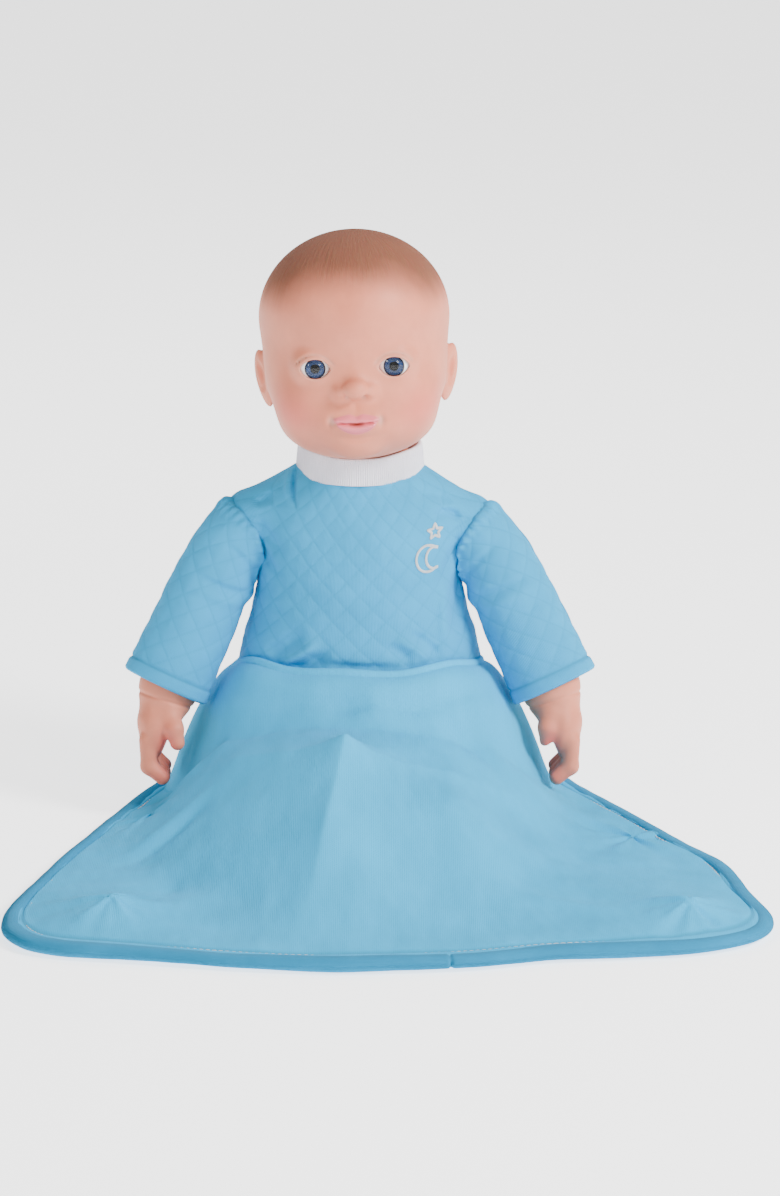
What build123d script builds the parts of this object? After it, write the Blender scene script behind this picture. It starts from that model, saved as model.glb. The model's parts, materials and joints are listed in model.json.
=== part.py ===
from build123d import *
from math import copysign, cos, pi, radians, sin
import os

# Interactive soft-bodied baby doll, seated in a sleeping bag.
# Millimetres, +Z up, the doll faces -Y, its own left side is +X.
# The origin is on the floor, under the middle of the torso.

CLEAR = 0.4            # gap between pieces that move past each other

# Head
HEAD_LEVELS = [        # height, half width, half depth, centre x, centre y
    (209, 24, 30, 0, -8), (216, 36, 44, 0, -8), (228, 45, 52, 0, -5),
    (245, 49, 58, 0, -1), (262, 52, 61, 0, 1), (280, 53, 62, 0, 2),
    (298, 48, 57, 0, 3), (312, 38, 46, 0, 4), (321, 25, 31, 0, 5), (327, 8, 10, 0, 5),
]
VINYL = 3.0            # wall of the head
HEAD_LEAN = -2.1       # degrees, about the Y axis
NECK_Y = 5.0
NECK_Z = 200.0         # bottom of the head's neck ring
NECK_RING_R = 27.0
NECK_LIP_R = 20.0      # hole in the lip that turns on the spool
NECK_LIP_TOP = 203.0
NECK_RING_H = 14.0
EAR_AT = (51.5, 6, 245)
EAR_R = (4, 9, 17)
EAR_TURN = 20
NOSE_AT = (0, -59, 250)
NOSE_R = (6.6, 5.4, 5.4)

# Eyes
EYE_X = 21.4
EYE_Y = -41.5
EYE_Z = 261.0
EYE_R = 11.0
IRIS_R = 5.7
IRIS_T = 0.8
EYE_OPENING_R = 8.0
EYE_WALL = 2.0
EYE_FIT = 0.05
CORNEA_RIM = 2.0
RETAINER_R = (13.0, 10.9)
RETAINER_Y = (3.5, 6.5)    # behind the eye's centre

# Neck spool
SPOOL_BARREL_R = 15.2
SPOOL_BOTTOM = 185.0
SPOOL_TOP = 206.5
FLANGE_T = 2.4
FLANGE_R = 21.0
GATHER_T = 1.2
GATHER_H = 8.0
SPOOL_WALL = 3.0
SPOOL_SHOULDER = 1.5   # height of the collar that the head's lip turns on, below the neck ring
TIE_INSET = 2.0        # from the edge of the gathered cloth to the tie
POCKET_R = 25.0        # hole in the torso's top, where the spool sits
POCKET_FLOOR = 178.0

# Torso
TORSO_LEVELS = [
    (3, 50, 36, 0, 4), (12, 68, 50, 0, 4), (30, 76, 56, 0, 3), (55, 74, 55, 0, 2),
    (80, 66, 50, 0, 0), (105, 58, 46, 0, 0), (130, 54, 43, 0, 0), (150, 55, 41, 0, 1),
    (165, 56, 38, 0, 2), (176, 53, 35, 0, 3), (184, 43, 32, 0, 3), (191, 32, 28, 0, 3),
]
BODY_CLOTH = 1.0
BODICE_GAP = 0.5
BODICE_T = 2.6
BODICE_BOTTOM = 74.0
BODICE_TOP = 194.5
NECKLINE = (35.5, 33.0)
ARMHOLE_R = 18.0
ARMHOLE_Z = 158.0
COLLAR_R = 34.0
COLLAR_T = 2.0
COLLAR_TOP = 205.5
COLLAR_Y = 4.0
CLOSURE_W = 18.0
CLOSURE_Z = (100, 182)
CLOSURE_T = 1.2
EMBLEM_AT = (40, 154)
EMBLEM_T = 0.6
MOON_R = (10, 8.2)
MOON_BITE = (4.5, 2)

# Sleeping bag: the height of each level and the half widths at its front and back,
# its front and back edge, how far its front is shifted to +X, how fast it narrows, how square it is
BAG_T = 2.0
BAG_LEVELS = [
    (2, 204, 100, -279, 62, 19, 0.75, 6), (14, 182, 88, -250, 63, 6, 1.8, 5),
    (34, 160, 88, -210, 64, 2, 2.0, 4), (52, 108, 84, -150, 63, 0, 2.0, 3),
    (72, 72, 77, -102, 60, 0, 1.0, 2.4), (88, 66, 70, -64, 57, 0, 1.0, 2),
]
BAG_POINTS = 48        # corners of one level's outline
SIDE_SEAM_Y = 8.0
BINDING_W = 8.0
BINDING_H = 9.0
BINDING_END_Y = 20.0

# Arms: the shoulder's centre, the cuff's centre and the fingertips, for the left arm
SHOULDER = Vector(64, 0, 168)
CUFF = Vector(108.5, -22, 73)
FINGERTIPS = Vector(113.5, -35, 24)
SLEEVE_PLANE_X = 61.0
SLEEVE_T = 2.0
SLEEVE_STATIONS = [(-14, 8), (0, 17), (12, 21), (30, 22.5), (70, 23.5), (107, 24.5)]
UPPER_ARM_STATIONS = [(0, 9), (14, 13.5), (30, 15.5), (54, 15.5), (66, 15.5)]
ARM_JOIN = (57, 66)    # where the cloth arm's end grips the vinyl forearm
ARM_NECK_R = 13.0
FOREARM_STATIONS = [(57, 13), (67, 13), (72, 15.5), (86, 16), (100, 15), (107, 13.5)]
FOREARM_WALL = 2.2
HAND_STATIONS = [(0, 13.5, 13.5), (10, 14.5, 12.5), (20, 15, 11.5), (28, 13.5, 10)]
FINGERS = 4
FINGER_R = 3.9
FINGER_PITCH = 6.6
FINGER_ROOT = 4.0      # how far a finger starts inside the palm
FINGER_STEP = 2.0      # how much shorter a finger is than the longest, per place
LONGEST_FINGER = 1.2   # its place, counted from the first
KNUCKLE_LINE = Vector(0.5, 0.85, 0)
THUMB_AT = (12, 9)     # along the hand and across it
THUMB_L = 14.0
THUMB_R = 4.5
PALM_TOP = (-3, 12.5, 12.5)

# Legs: the hip's centre for the left leg, and the angle that the leg points out from straight ahead
HIP = Vector(36, -54, 27)
LEG_SPLAY = 6.0
THIGH_STATIONS = [(2, 20), (20, 20.5), (50, 18), (61, 18)]
LEG_JOIN = (53, 61)
LEG_NECK_R = 14.5
SHIN_STATIONS = [(53, 14.5), (62, 14.5), (67, 16.5), (85, 15.5), (104, 12.5)]
FOOT_SIZE = (24, 12, 12)
FOOT_AT = 112.0
FOOT_TURN = 12.0       # outward, from straight ahead
FOOT_OUT = 3.0         # the foot's centre beside the shin's line
FOOT_LIFT = 4.0

TIE_T = 1.3
TIE_W = 4.0

# Sound module, inside the torso
MODULE_W = 56.0
MODULE_H = 76.0
MODULE_Z = 108.0
MODULE_FRONT = -30.0
MODULE_SPLIT = -14.0
MODULE_BACK = 4.0
MODULE_WALL = 1.8
MODULE_FIT = 0.5       # gap to the stuffing around it
SPEAKER_Z = 124.0
SPEAKER_R = 17.0
BUTTON_Z = 88.0
BUTTON_R = 8.0
BUTTON_TRAVEL = 2.0
BOARD_Y = -12.4
BOARD_T = 1.6
CELL_R = 5.25
CELL_L = 44.5
CELL_PITCH = 11.2
CELL_Y = -3.6
CELL_Z = 118.0
CELL_ROWS = (-1, 0, 1)
CELL_TIP = (1.9, 1.0)  # radius and length
CONTACT = (0.6, 8, 8)
DOOR_W = 50.0
DOOR_H = 38.0
SWITCH_X = 18.0
SWITCH_Z = 82.0
SCREW_R = 1.4
SCREW_HEAD_R = 2.5
SCREW_HEAD_H = 1.8
SCREW_L = 11.0
SCREW_FIT = 0.2
POST_INSET = 4.2
POST_R = 3.2
COUNTERBORE = (2.7, 3.0)   # radius and depth
GRILLE_SLOTS = 5
GRILLE_PITCH = 5.0
GRILLE_SLOT = (22, 10, 2)
BUTTON_STANDS_OUT = 3.5
BUTTON_EDGE_R = 1.2
BUTTON_FLANGE = (9.6, 1.3)     # radius and thickness
BUTTON_STEM_R = 2.2
BUTTON_GAP = 0.3
DOOR_T = 1.6
DOOR_RECESS = 0.9
DOOR_LEDGE = 2.0
DOOR_FIT = 0.2
DOOR_TAB_W = 8.0
DOOR_SCREW_DROP = 3.0
DOOR_SCREW_L = 6.0
DOOR_HEAD_H = 1.3
SWITCH_SLOT = (10, 4)
SWITCH_BODY = (14, 4.6, 7)
SWITCH_HOLLOW = (9, 3.4)
SWITCH_KNOB = (4, 7.1, 2.6)
SPRING_R = 5.6
SPRING_WIRE_R = 0.4
SPRING_TURNS = 4
MAGNET = (8.0, 3.5)    # radius and depth
BASKET_RIM = 2.0
BASKET_DEPTH = 7.0
BOARD_NOTCH = 16.0
SOUND_CHIP = (17, 102, 10, 8, 2)       # x, z, width, height, thickness
RESISTORS = (-18, 106, 8, 4, 1.2)
CONTACT_PAD = (6, 6, 1.8)
CAPACITOR = (-16, 96, 3, 7)            # x, z, radius, length
WIRE_R = 0.6
WIRE_X = 19.5
WIRE_Z = 112.0
WIRE_REACH = 8.0
WIRE_RISE = 14.0
WIRE_BEND = 3.0
BIG = 400.0            # larger than any piece, for cutting


def oval_stack(levels, ruled=True):
    """A solid through ellipses at several heights."""
    return loft([Pos(cx, cy, z) * Ellipse(rx, ry) for z, rx, ry, cx, cy in levels], ruled=ruled)


def grown(levels, by):
    """The same levels with every ellipse larger by that much."""
    return [(z, rx + by, ry + by, cx, cy) for z, rx, ry, cx, cy in levels]


def limb(start, direction, stations):
    """A round limb through circles or ovals at several distances along a direction."""
    faces = []
    for distance, across, *other in stations:
        plane = Plane(origin=start + direction * distance, x_dir=(1, 0.2, 0.3), z_dir=direction)
        faces.append(plane * (Ellipse(across, other[0]) if other else Circle(across)))
    return loft(faces, ruled=True)


def inside_of(stations):
    """The hollow of a vinyl limb, open at its first station and closed before its last."""
    inner = [(distance, radius - FOREARM_WALL) for distance, radius in stations[:-1]]
    return [(inner[0][0] - 1, inner[0][1])] + inner[1:]


def barrel(start, direction, low, high, radius):
    """A straight cylinder between two distances along a direction."""
    plane = Plane(origin=start + direction * low, z_dir=direction)
    return extrude(plane * Circle(radius), high - low)


def slab(low, high):
    """A box from its lowest to its highest corner."""
    size = [high[i] - low[i] for i in range(3)]
    middle = [(high[i] + low[i]) / 2 for i in range(3)]
    return Pos(*middle) * Box(*size)


def ring_z(outer, inner, low, high, y=0.0):
    """An upright ring."""
    middle = Pos(0, y, (low + high) / 2)
    return middle * Cylinder(outer, high - low) - middle * Cylinder(inner, high - low + 1)


def disc_z(radius, low, high, y=0.0):
    """An upright cylinder."""
    return Pos(0, y, (low + high) / 2) * Cylinder(radius, high - low)


def rod_x(radius, low, high, y, z):
    """A round bar along X."""
    return Pos((low + high) / 2, y, z) * Rot(0, 90, 0) * Cylinder(radius, high - low)


def rod_y(radius, front, back, x, z):
    """A round bar along Y."""
    return Pos(x, (front + back) / 2, z) * Rot(90, 0, 0) * Cylinder(radius, back - front)


def bag_outline(level, inset=0.0):
    """The rounded, tapering outline of the sleeping bag at one level."""
    z, front_w, back_w, front_y, back_y, shift, taper, square = level
    middle_y = (front_y + back_y) / 2
    half_y = (back_y - front_y) / 2 - inset
    points = []
    for i in range(BAG_POINTS):
        angle = 2 * pi * i / BAG_POINTS
        u = copysign(abs(cos(angle)) ** (2 / square), cos(angle))
        v = copysign(abs(sin(angle)) ** (2 / square), sin(angle))
        forward = (1 - v) / 2
        width = back_w + (front_w - back_w) * forward ** taper - inset
        points.append((shift * forward + u * width, middle_y + v * half_y))
    return make_face(Polyline(*points, close=True))


def bag_solid(inset, drop):
    """The bag's outer form, drawn in and lowered for the inside."""
    faces = [Pos(0, 0, level[0] - drop) * bag_outline(level, inset) for level in BAG_LEVELS]
    return loft(faces, ruled=True)


def save(node, shape):
    export_step(shape, f"parts/{node}.step")


def both_sides(node, left_shape):
    """The left piece and its mirror image."""
    save(f"left_{node}", left_shape)
    save(f"right_{node}", mirror(left_shape, about=Plane.YZ))


def lean(shape):
    """The head's slight lean about the neck."""
    return Pos(0, 0, NECK_Z) * Rot(0, HEAD_LEAN, 0) * Pos(0, 0, -NECK_Z) * shape


def oval_ball(centre, radii, turn=0.0):
    """A ball stretched to three radii, turned about Z."""
    return Pos(*centre) * Rot(0, 0, turn) * scale(Sphere(1), by=radii)


def make_head():
    outside = oval_stack(HEAD_LEVELS, ruled=False)
    inner_levels = []
    for z, rx, ry, cx, cy in HEAD_LEVELS[:-1]:
        lowered = z - VINYL if z > HEAD_LEVELS[-4][0] else z
        inner_levels.append((lowered, rx, ry, cx, cy))
    inside = oval_stack(grown(inner_levels, -VINYL), ruled=False)
    shell = outside + oval_ball(NOSE_AT, NOSE_R)
    for side in (-1, 1):
        x, y, z = EAR_AT
        shell += oval_ball((side * x, y, z), EAR_R, side * EAR_TURN)
    shell -= inside
    for side in (-1, 1):
        shell -= Pos(side * EYE_X, EYE_Y, EYE_Z) * Sphere(EYE_R + EYE_FIT)
        shell -= rod_y(EYE_OPENING_R, EYE_Y - BIG, EYE_Y, side * EYE_X, EYE_Z)
    shell = lean(shell)
    ring_top = NECK_Z + NECK_RING_H
    shell -= disc_z(NECK_RING_R - VINYL, NECK_Z - VINYL, ring_top + 2 * VINYL, NECK_Y)
    shell += ring_z(NECK_RING_R, NECK_RING_R - VINYL, NECK_Z, ring_top, NECK_Y)
    shell += ring_z(NECK_RING_R, NECK_LIP_R, NECK_Z, NECK_LIP_TOP, NECK_Y)
    save("head_shell", shell)


def make_eyes():
    seat_y = EYE_Y - (EYE_R ** 2 - IRIS_R ** 2) ** 0.5
    before = EYE_Y - 2 * EYE_R
    rings = Part()
    for side, x in (("left", EYE_X), ("right", -EYE_X)):
        centre = Pos(x, EYE_Y, EYE_Z)
        ball = centre * (Sphere(EYE_R) - Sphere(EYE_R - EYE_WALL))
        pupil_axis = rod_y(IRIS_R, before, seat_y + IRIS_T, x, EYE_Z)
        cornea = centre * Sphere(EYE_R) & rod_y(IRIS_R + CORNEA_RIM, before, seat_y, x, EYE_Z)
        iris = rod_y(IRIS_R, seat_y, seat_y + IRIS_T, x, EYE_Z)
        save(f"{side}_eye", lean(ball - pupil_axis))
        save(f"{side}_iris", lean(iris))
        save(f"{side}_cornea", lean(cornea))
        low, high = (EYE_Y + depth for depth in RETAINER_Y)
        outer, inner = RETAINER_R
        rings += rod_y(outer, low, high, x, EYE_Z) - rod_y(inner, EYE_Y, high + EYE_R, x, EYE_Z)
    save("eye_retainers", lean(rings))


def make_neck():
    core = SPOOL_BARREL_R - 1
    spool = disc_z(SPOOL_BARREL_R, SPOOL_BOTTOM, SPOOL_TOP, NECK_Y)
    spool += ring_z(FLANGE_R, core, SPOOL_BOTTOM, SPOOL_BOTTOM + FLANGE_T, NECK_Y)
    spool += ring_z(NECK_LIP_R - CLEAR, core, NECK_Z - SPOOL_SHOULDER, NECK_LIP_TOP + CLEAR, NECK_Y)
    spool -= disc_z(SPOOL_BARREL_R - SPOOL_WALL, SPOOL_BOTTOM - 1, SPOOL_TOP + 1, NECK_Y)
    save("neck_spool", spool)
    washer_low = NECK_LIP_TOP + CLEAR
    washer_r = NECK_RING_R - VINYL - CLEAR
    save("neck_washer", ring_z(washer_r, SPOOL_BARREL_R, washer_low, washer_low + FLANGE_T, NECK_Y))
    low = SPOOL_BOTTOM + FLANGE_T
    gather_r = SPOOL_BARREL_R + GATHER_T
    save("neck_gather", ring_z(gather_r, SPOOL_BARREL_R, low, low + GATHER_H, NECK_Y))
    tie_low = low + TIE_INSET
    save("neck_tie", ring_z(gather_r + TIE_T, gather_r, tie_low, tie_low + TIE_W, NECK_Y))


def module_pocket():
    """The hole in the stuffing that holds the module, open to the button's front."""
    gap = MODULE_FIT
    pocket = slab((-MODULE_W / 2 - gap, MODULE_FRONT - gap, MODULE_Z - MODULE_H / 2 - gap),
                  (MODULE_W / 2 + gap, MODULE_BACK + 4, MODULE_Z + MODULE_H / 2 + gap))
    return pocket + rod_y(BUTTON_R + 1, MODULE_FRONT - 6, MODULE_FRONT, 0, BUTTON_Z)


def make_torso():
    outside = oval_stack(TORSO_LEVELS)
    neck_hole = disc_z(POCKET_R, POCKET_FLOOR, NECK_Z, NECK_Y)
    filling_levels = grown(TORSO_LEVELS, -BODY_CLOTH)
    filling_levels[0] = (TORSO_LEVELS[0][0] + BODY_CLOTH, *filling_levels[0][1:])
    filling_levels[-1] = (TORSO_LEVELS[-1][0] - BODY_CLOTH, *filling_levels[-1][1:])
    filling = oval_stack(filling_levels)
    save("torso_cloth", outside - filling - neck_hole)
    save("torso_stuffing", filling - neck_hole - module_pocket())


def bodice_solid(extra):
    """The bodice's form, extra outside the cloth body."""
    inward = extra - BODICE_T - BODICE_GAP
    top = (BODICE_TOP, NECKLINE[0] + inward, NECKLINE[1] + inward, 0, TORSO_LEVELS[-1][4])
    return oval_stack(grown(TORSO_LEVELS, extra) + [top])


def make_bodice():
    outside = BODICE_GAP + BODICE_T
    outer = bodice_solid(outside)
    upper_half = slab((-BIG, -BIG, BODICE_BOTTOM), (BIG, BIG, BIG))
    shirt = (outer - bodice_solid(BODICE_GAP)) & upper_half
    shirt -= rod_x(ARMHOLE_R, -BIG, BIG, 0, ARMHOLE_Z)
    save("bodice", shirt)
    save("collar_band", ring_z(COLLAR_R, COLLAR_R - COLLAR_T, BODICE_TOP, COLLAR_TOP, COLLAR_Y))
    strip = bodice_solid(outside + CLOSURE_T) - outer
    back = slab((-CLOSURE_W / 2, 0, CLOSURE_Z[0]), (CLOSURE_W / 2, BIG, CLOSURE_Z[1]))
    save("back_closure", strip & back)
    moon = Circle(MOON_R[0]) - Pos(*MOON_BITE) * Circle(MOON_R[1])
    stamp = Pos(EMBLEM_AT[0], 0, EMBLEM_AT[1]) * Rot(90, 0, 0) * extrude(moon, BIG)
    thread = bodice_solid(outside + EMBLEM_T) - outer
    save("chest_emblem", thread & stamp)


def make_bag():
    outer = bag_solid(0, 0)
    shell = outer - bag_solid(BAG_T, BAG_T) - bodice_solid(BODICE_GAP + BODICE_T)
    ahead = slab((-BIG, -BIG, BAG_T), (BIG, SIDE_SEAM_Y, BIG))
    behind = slab((-BIG, SIDE_SEAM_Y, BAG_T), (BIG, BIG, BIG))
    floor_panel = extrude(bag_outline(BAG_LEVELS[0]), BAG_T)
    save("sack_front_panel", shell & ahead)
    save("sack_back_panel", (shell & behind) + floor_panel)
    edge = extrude(bag_outline(BAG_LEVELS[0], -BINDING_W), BINDING_H)
    edge -= Pos(0, 0, -1) * extrude(bag_outline(BAG_LEVELS[0]), BINDING_H + 2)
    save("sack_binding", edge & slab((-BIG, -BIG, 0), (BIG, BINDING_END_Y, BIG)))


def finger(base, pointing, length, radius):
    """A straight finger with a round tip."""
    tip = base + pointing * length
    return barrel(base, pointing, 0, length, radius) + Pos(*tip) * Sphere(radius)


def make_arms():
    direction = (CUFF - SHOULDER).normalized()
    outward = slab((SLEEVE_PLANE_X, -BIG, 0), (BIG, BIG, BIG))
    lining = [(d, r - SLEEVE_T) for d, r in SLEEVE_STATIONS]
    lining[0] = (SLEEVE_STATIONS[0][0] - 2, lining[0][1])
    lining[-1] = (SLEEVE_STATIONS[-1][0] + 1, lining[-1][1])
    sleeve = limb(SHOULDER, direction, SLEEVE_STATIONS) - limb(SHOULDER, direction, lining)
    both_sides("sleeve", sleeve & outward)

    low, high = ARM_JOIN
    arm_inside = Pos(1, 0, 0) * outward
    cloth = limb(SHOULDER, direction, UPPER_ARM_STATIONS) & arm_inside
    grip_r = UPPER_ARM_STATIONS[-1][1]
    cloth -= barrel(SHOULDER, direction, low, high + 1, ARM_NECK_R)
    both_sides("upper_arm", cloth)
    tie_low = low + TIE_INSET
    tie = barrel(SHOULDER, direction, tie_low, tie_low + TIE_W, grip_r + TIE_T)
    both_sides("arm_tie", tie - barrel(SHOULDER, direction, low, high, grip_r))

    skin = limb(SHOULDER, direction, FOREARM_STATIONS)
    hollow = limb(SHOULDER, direction, inside_of(FOREARM_STATIONS))
    wrist = SHOULDER + direction * FOREARM_STATIONS[-1][0]
    reach = FINGERTIPS - wrist
    pointing = reach.normalized()
    palm_l = HAND_STATIONS[-1][0]
    hand = limb(wrist, pointing, [PALM_TOP] + HAND_STATIONS[1:])
    root = wrist + pointing * (palm_l - FINGER_ROOT)
    for i in range(FINGERS):
        base = root + KNUCKLE_LINE * ((i - (FINGERS - 1) / 2) * FINGER_PITCH)
        shorter = abs(i - LONGEST_FINGER) * FINGER_STEP
        length = reach.length - palm_l + FINGER_ROOT - FINGER_R - shorter
        hand += finger(base, pointing, length, FINGER_R)
    thumb_base = wrist + pointing * THUMB_AT[0] - KNUCKLE_LINE * THUMB_AT[1]
    thumb_way = (pointing - KNUCKLE_LINE * 0.5).normalized()
    hand += finger(thumb_base, thumb_way, THUMB_L, THUMB_R)
    both_sides("forearm", skin + hand - hollow)


def make_legs():
    forward = Vector(sin(radians(LEG_SPLAY)), -cos(radians(LEG_SPLAY)), 0)
    low, high = LEG_JOIN
    thigh = limb(HIP, forward, THIGH_STATIONS)
    grip_r = THIGH_STATIONS[-1][1]
    thigh -= barrel(HIP, forward, low, high + 1, LEG_NECK_R)
    both_sides("thigh", thigh)
    tie_low = low + TIE_INSET
    tie = barrel(HIP, forward, tie_low, tie_low + TIE_W, grip_r + TIE_T)
    both_sides("leg_tie", tie - barrel(HIP, forward, low, high, grip_r))
    shin = limb(HIP, forward, SHIN_STATIONS)
    hollow = limb(HIP, forward, inside_of(SHIN_STATIONS))
    heel = HIP + forward * FOOT_AT
    foot_centre = (heel.X + FOOT_OUT, heel.Y, FOOT_SIZE[2] + FOOT_LIFT)
    foot = oval_ball(foot_centre, FOOT_SIZE, FOOT_TURN - 90)
    both_sides("lower_leg", shin + foot - hollow)


def block(centre, size):
    """A box round a centre."""
    return Pos(*centre) * Box(*size)


def half_case(front, back, open_front, open_back):
    """One half of the module's case, open where the other half meets it."""
    half_w = MODULE_W / 2
    half_h = MODULE_H / 2
    wall = MODULE_WALL
    shell = slab((-half_w, front, MODULE_Z - half_h), (half_w, back, MODULE_Z + half_h))
    inner_front = front - 1 if open_front else front + wall
    inner_back = back + 1 if open_back else back - wall
    low = (-half_w + wall, inner_front, MODULE_Z - half_h + wall)
    high = (half_w - wall, inner_back, MODULE_Z + half_h - wall)
    return shell - slab(low, high)


def make_module_cases():
    front = half_case(MODULE_FRONT, MODULE_SPLIT, False, True)
    rear = half_case(MODULE_SPLIT, MODULE_BACK, True, False)
    for i in range(GRILLE_SLOTS):
        z = SPEAKER_Z + (i - (GRILLE_SLOTS - 1) / 2) * GRILLE_PITCH
        front -= block((0, MODULE_FRONT, z), GRILLE_SLOT)
    inside_front = MODULE_FRONT + MODULE_WALL
    front -= rod_y(BUTTON_R + CLEAR, MODULE_FRONT - 1, inside_front + 1, 0, BUTTON_Z)
    bore_r, bore_depth = COUNTERBORE
    head_seat = MODULE_BACK - bore_depth
    screws = Part()
    for side in (-1, 1):
        for up in (-1, 1):
            x = side * (MODULE_W / 2 - POST_INSET)
            z = MODULE_Z + up * (MODULE_H / 2 - POST_INSET)
            front += rod_y(POST_R, inside_front - 1, MODULE_SPLIT, x, z)
            front -= rod_y(SCREW_R, inside_front + 1, MODULE_SPLIT + 1, x, z)
            rear += rod_y(POST_R, MODULE_SPLIT, MODULE_BACK, x, z)
            rear -= rod_y(SCREW_R + SCREW_FIT, MODULE_SPLIT - 1, MODULE_BACK, x, z)
            rear -= rod_y(bore_r, head_seat, MODULE_BACK + 1, x, z)
            screws += rod_y(SCREW_R, head_seat - SCREW_L, head_seat, x, z)
            screws += rod_y(SCREW_HEAD_R, head_seat, head_seat + SCREW_HEAD_H, x, z)
    rear = rear - door_opening() - switch_slot()
    screw_z = CELL_Z - DOOR_H / 2 - DOOR_SCREW_DROP
    screw_tip = MODULE_BACK - DOOR_SCREW_L
    rear += rod_y(POST_R, screw_tip - 2, MODULE_BACK, 0, screw_z)
    rear -= rod_y(SCREW_R, screw_tip - 1, MODULE_BACK + 1, 0, screw_z)
    save("module_front_case", front)
    save("module_rear_case", rear)
    save("case_screws", screws)
    make_door(screw_z, screw_tip)


def door_opening():
    """The battery opening through the rear case, with a ledge round it for the door."""
    width, height = DOOR_W - 2 * DOOR_LEDGE, DOOR_H - 2 * DOOR_LEDGE
    through = block((0, MODULE_BACK, CELL_Z), (width, 4 * MODULE_WALL, height))
    return through + block((0, MODULE_BACK, CELL_Z), (DOOR_W, 2 * DOOR_RECESS, DOOR_H))


def switch_slot():
    width, height = SWITCH_SLOT
    return block((SWITCH_X, MODULE_BACK, SWITCH_Z), (width, 4 * MODULE_WALL, height))


def make_door(screw_z, screw_tip):
    inner = MODULE_BACK - DOOR_RECESS
    outer = inner + DOOR_T
    size = (DOOR_W - 2 * DOOR_FIT, DOOR_T, DOOR_H - 2 * DOOR_FIT)
    door = block((0, (inner + outer) / 2, CELL_Z), size)
    tab_top = CELL_Z - DOOR_H / 2 + 1
    door += slab((-DOOR_TAB_W / 2, MODULE_BACK, screw_z - DOOR_TAB_W / 2), (DOOR_TAB_W / 2, outer, tab_top))
    door -= rod_y(SCREW_R + SCREW_FIT, MODULE_BACK - 1, outer + 1, 0, screw_z)
    screw = rod_y(SCREW_R, screw_tip, outer, 0, screw_z)
    screw += rod_y(SCREW_HEAD_R, outer, outer + DOOR_HEAD_H, 0, screw_z)
    save("battery_door", door)
    save("battery_door_screw", screw)


def make_batteries():
    cells = Part()
    contacts = Part()
    tip_r, tip_l = CELL_TIP
    half_l = CELL_L / 2
    for row in CELL_ROWS:
        z = CELL_Z + row * CELL_PITCH
        cells += rod_x(CELL_R, -half_l, half_l - tip_l, CELL_Y, z)
        cells += rod_x(tip_r, half_l - tip_l, half_l, CELL_Y, z)
        for end in (-1, 1):
            contacts += block((end * (half_l + CONTACT[0] / 2), CELL_Y, z), CONTACT)
    save("battery_cells", cells)
    save("battery_contacts", contacts)


def make_speaker():
    front = MODULE_FRONT + MODULE_WALL
    rim_back = front + BASKET_RIM
    back = front + BASKET_DEPTH
    basket = rod_y(SPEAKER_R, front, rim_back, 0, SPEAKER_Z)
    basket += rod_y(SPEAKER_R - 5, rim_back, back, 0, SPEAKER_Z)
    basket -= rod_y(SPEAKER_R - 3, front - 1, front + 1, 0, SPEAKER_Z)
    basket -= rod_y(SPEAKER_R - 6.5, front + 1, back - 1, 0, SPEAKER_Z)
    cone_plane = Plane(origin=(0, front + 0.2, SPEAKER_Z), z_dir=(0, 1, 0))
    cone = loft([cone_plane * Circle(SPEAKER_R - 3.2), cone_plane.offset(0.7) * Circle(SPEAKER_R - 7)])
    save("speaker_basket", basket)
    save("speaker_cone", cone)
    save("speaker_magnet", rod_y(MAGNET[0], back, back + MAGNET[1], 0, SPEAKER_Z))


def make_board():
    half_w = MODULE_W / 2 - MODULE_WALL - 1
    half_h = MODULE_H / 2 - MODULE_WALL - 1
    middle = (0, BOARD_Y + BOARD_T / 2, MODULE_Z)
    board = block(middle, (2 * half_w, BOARD_T, 2 * half_h))
    for x in (-half_w, half_w):
        for z in (MODULE_Z - half_h, MODULE_Z + half_h):
            board -= block((x, BOARD_Y, z), (BOARD_NOTCH, BOARD_NOTCH, BOARD_NOTCH))
    save("circuit_board", board)
    parts = on_board(*SOUND_CHIP) + on_board(*RESISTORS) + on_board(0, BUTTON_Z, *CONTACT_PAD)
    x, z, radius, height = CAPACITOR
    parts += rod_y(radius, BOARD_Y - height, BOARD_Y, x, z)
    save("board_components", parts)
    width, depth, height = SWITCH_BODY
    body_back = MODULE_BACK - 2 * MODULE_WALL + CLEAR / 2
    housing = block((SWITCH_X, body_back - depth / 2, SWITCH_Z), SWITCH_BODY)
    hollow_w, hollow_h = SWITCH_HOLLOW
    housing -= block((SWITCH_X, body_back, SWITCH_Z), (hollow_w, depth, hollow_h))
    save("slide_switch", housing)
    knob_w, knob_depth, knob_h = SWITCH_KNOB
    knob_front = body_back - depth / 2 + CLEAR
    knob_middle = (SWITCH_X - knob_w / 2, knob_front + knob_depth / 2, SWITCH_Z)
    save("switch_knob", block(knob_middle, (knob_w, knob_depth, knob_h)))


def on_board(x, z, width, height, thickness):
    """A flat component on the board's front."""
    return block((x, BOARD_Y - thickness / 2, z), (width, thickness, height))


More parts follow.
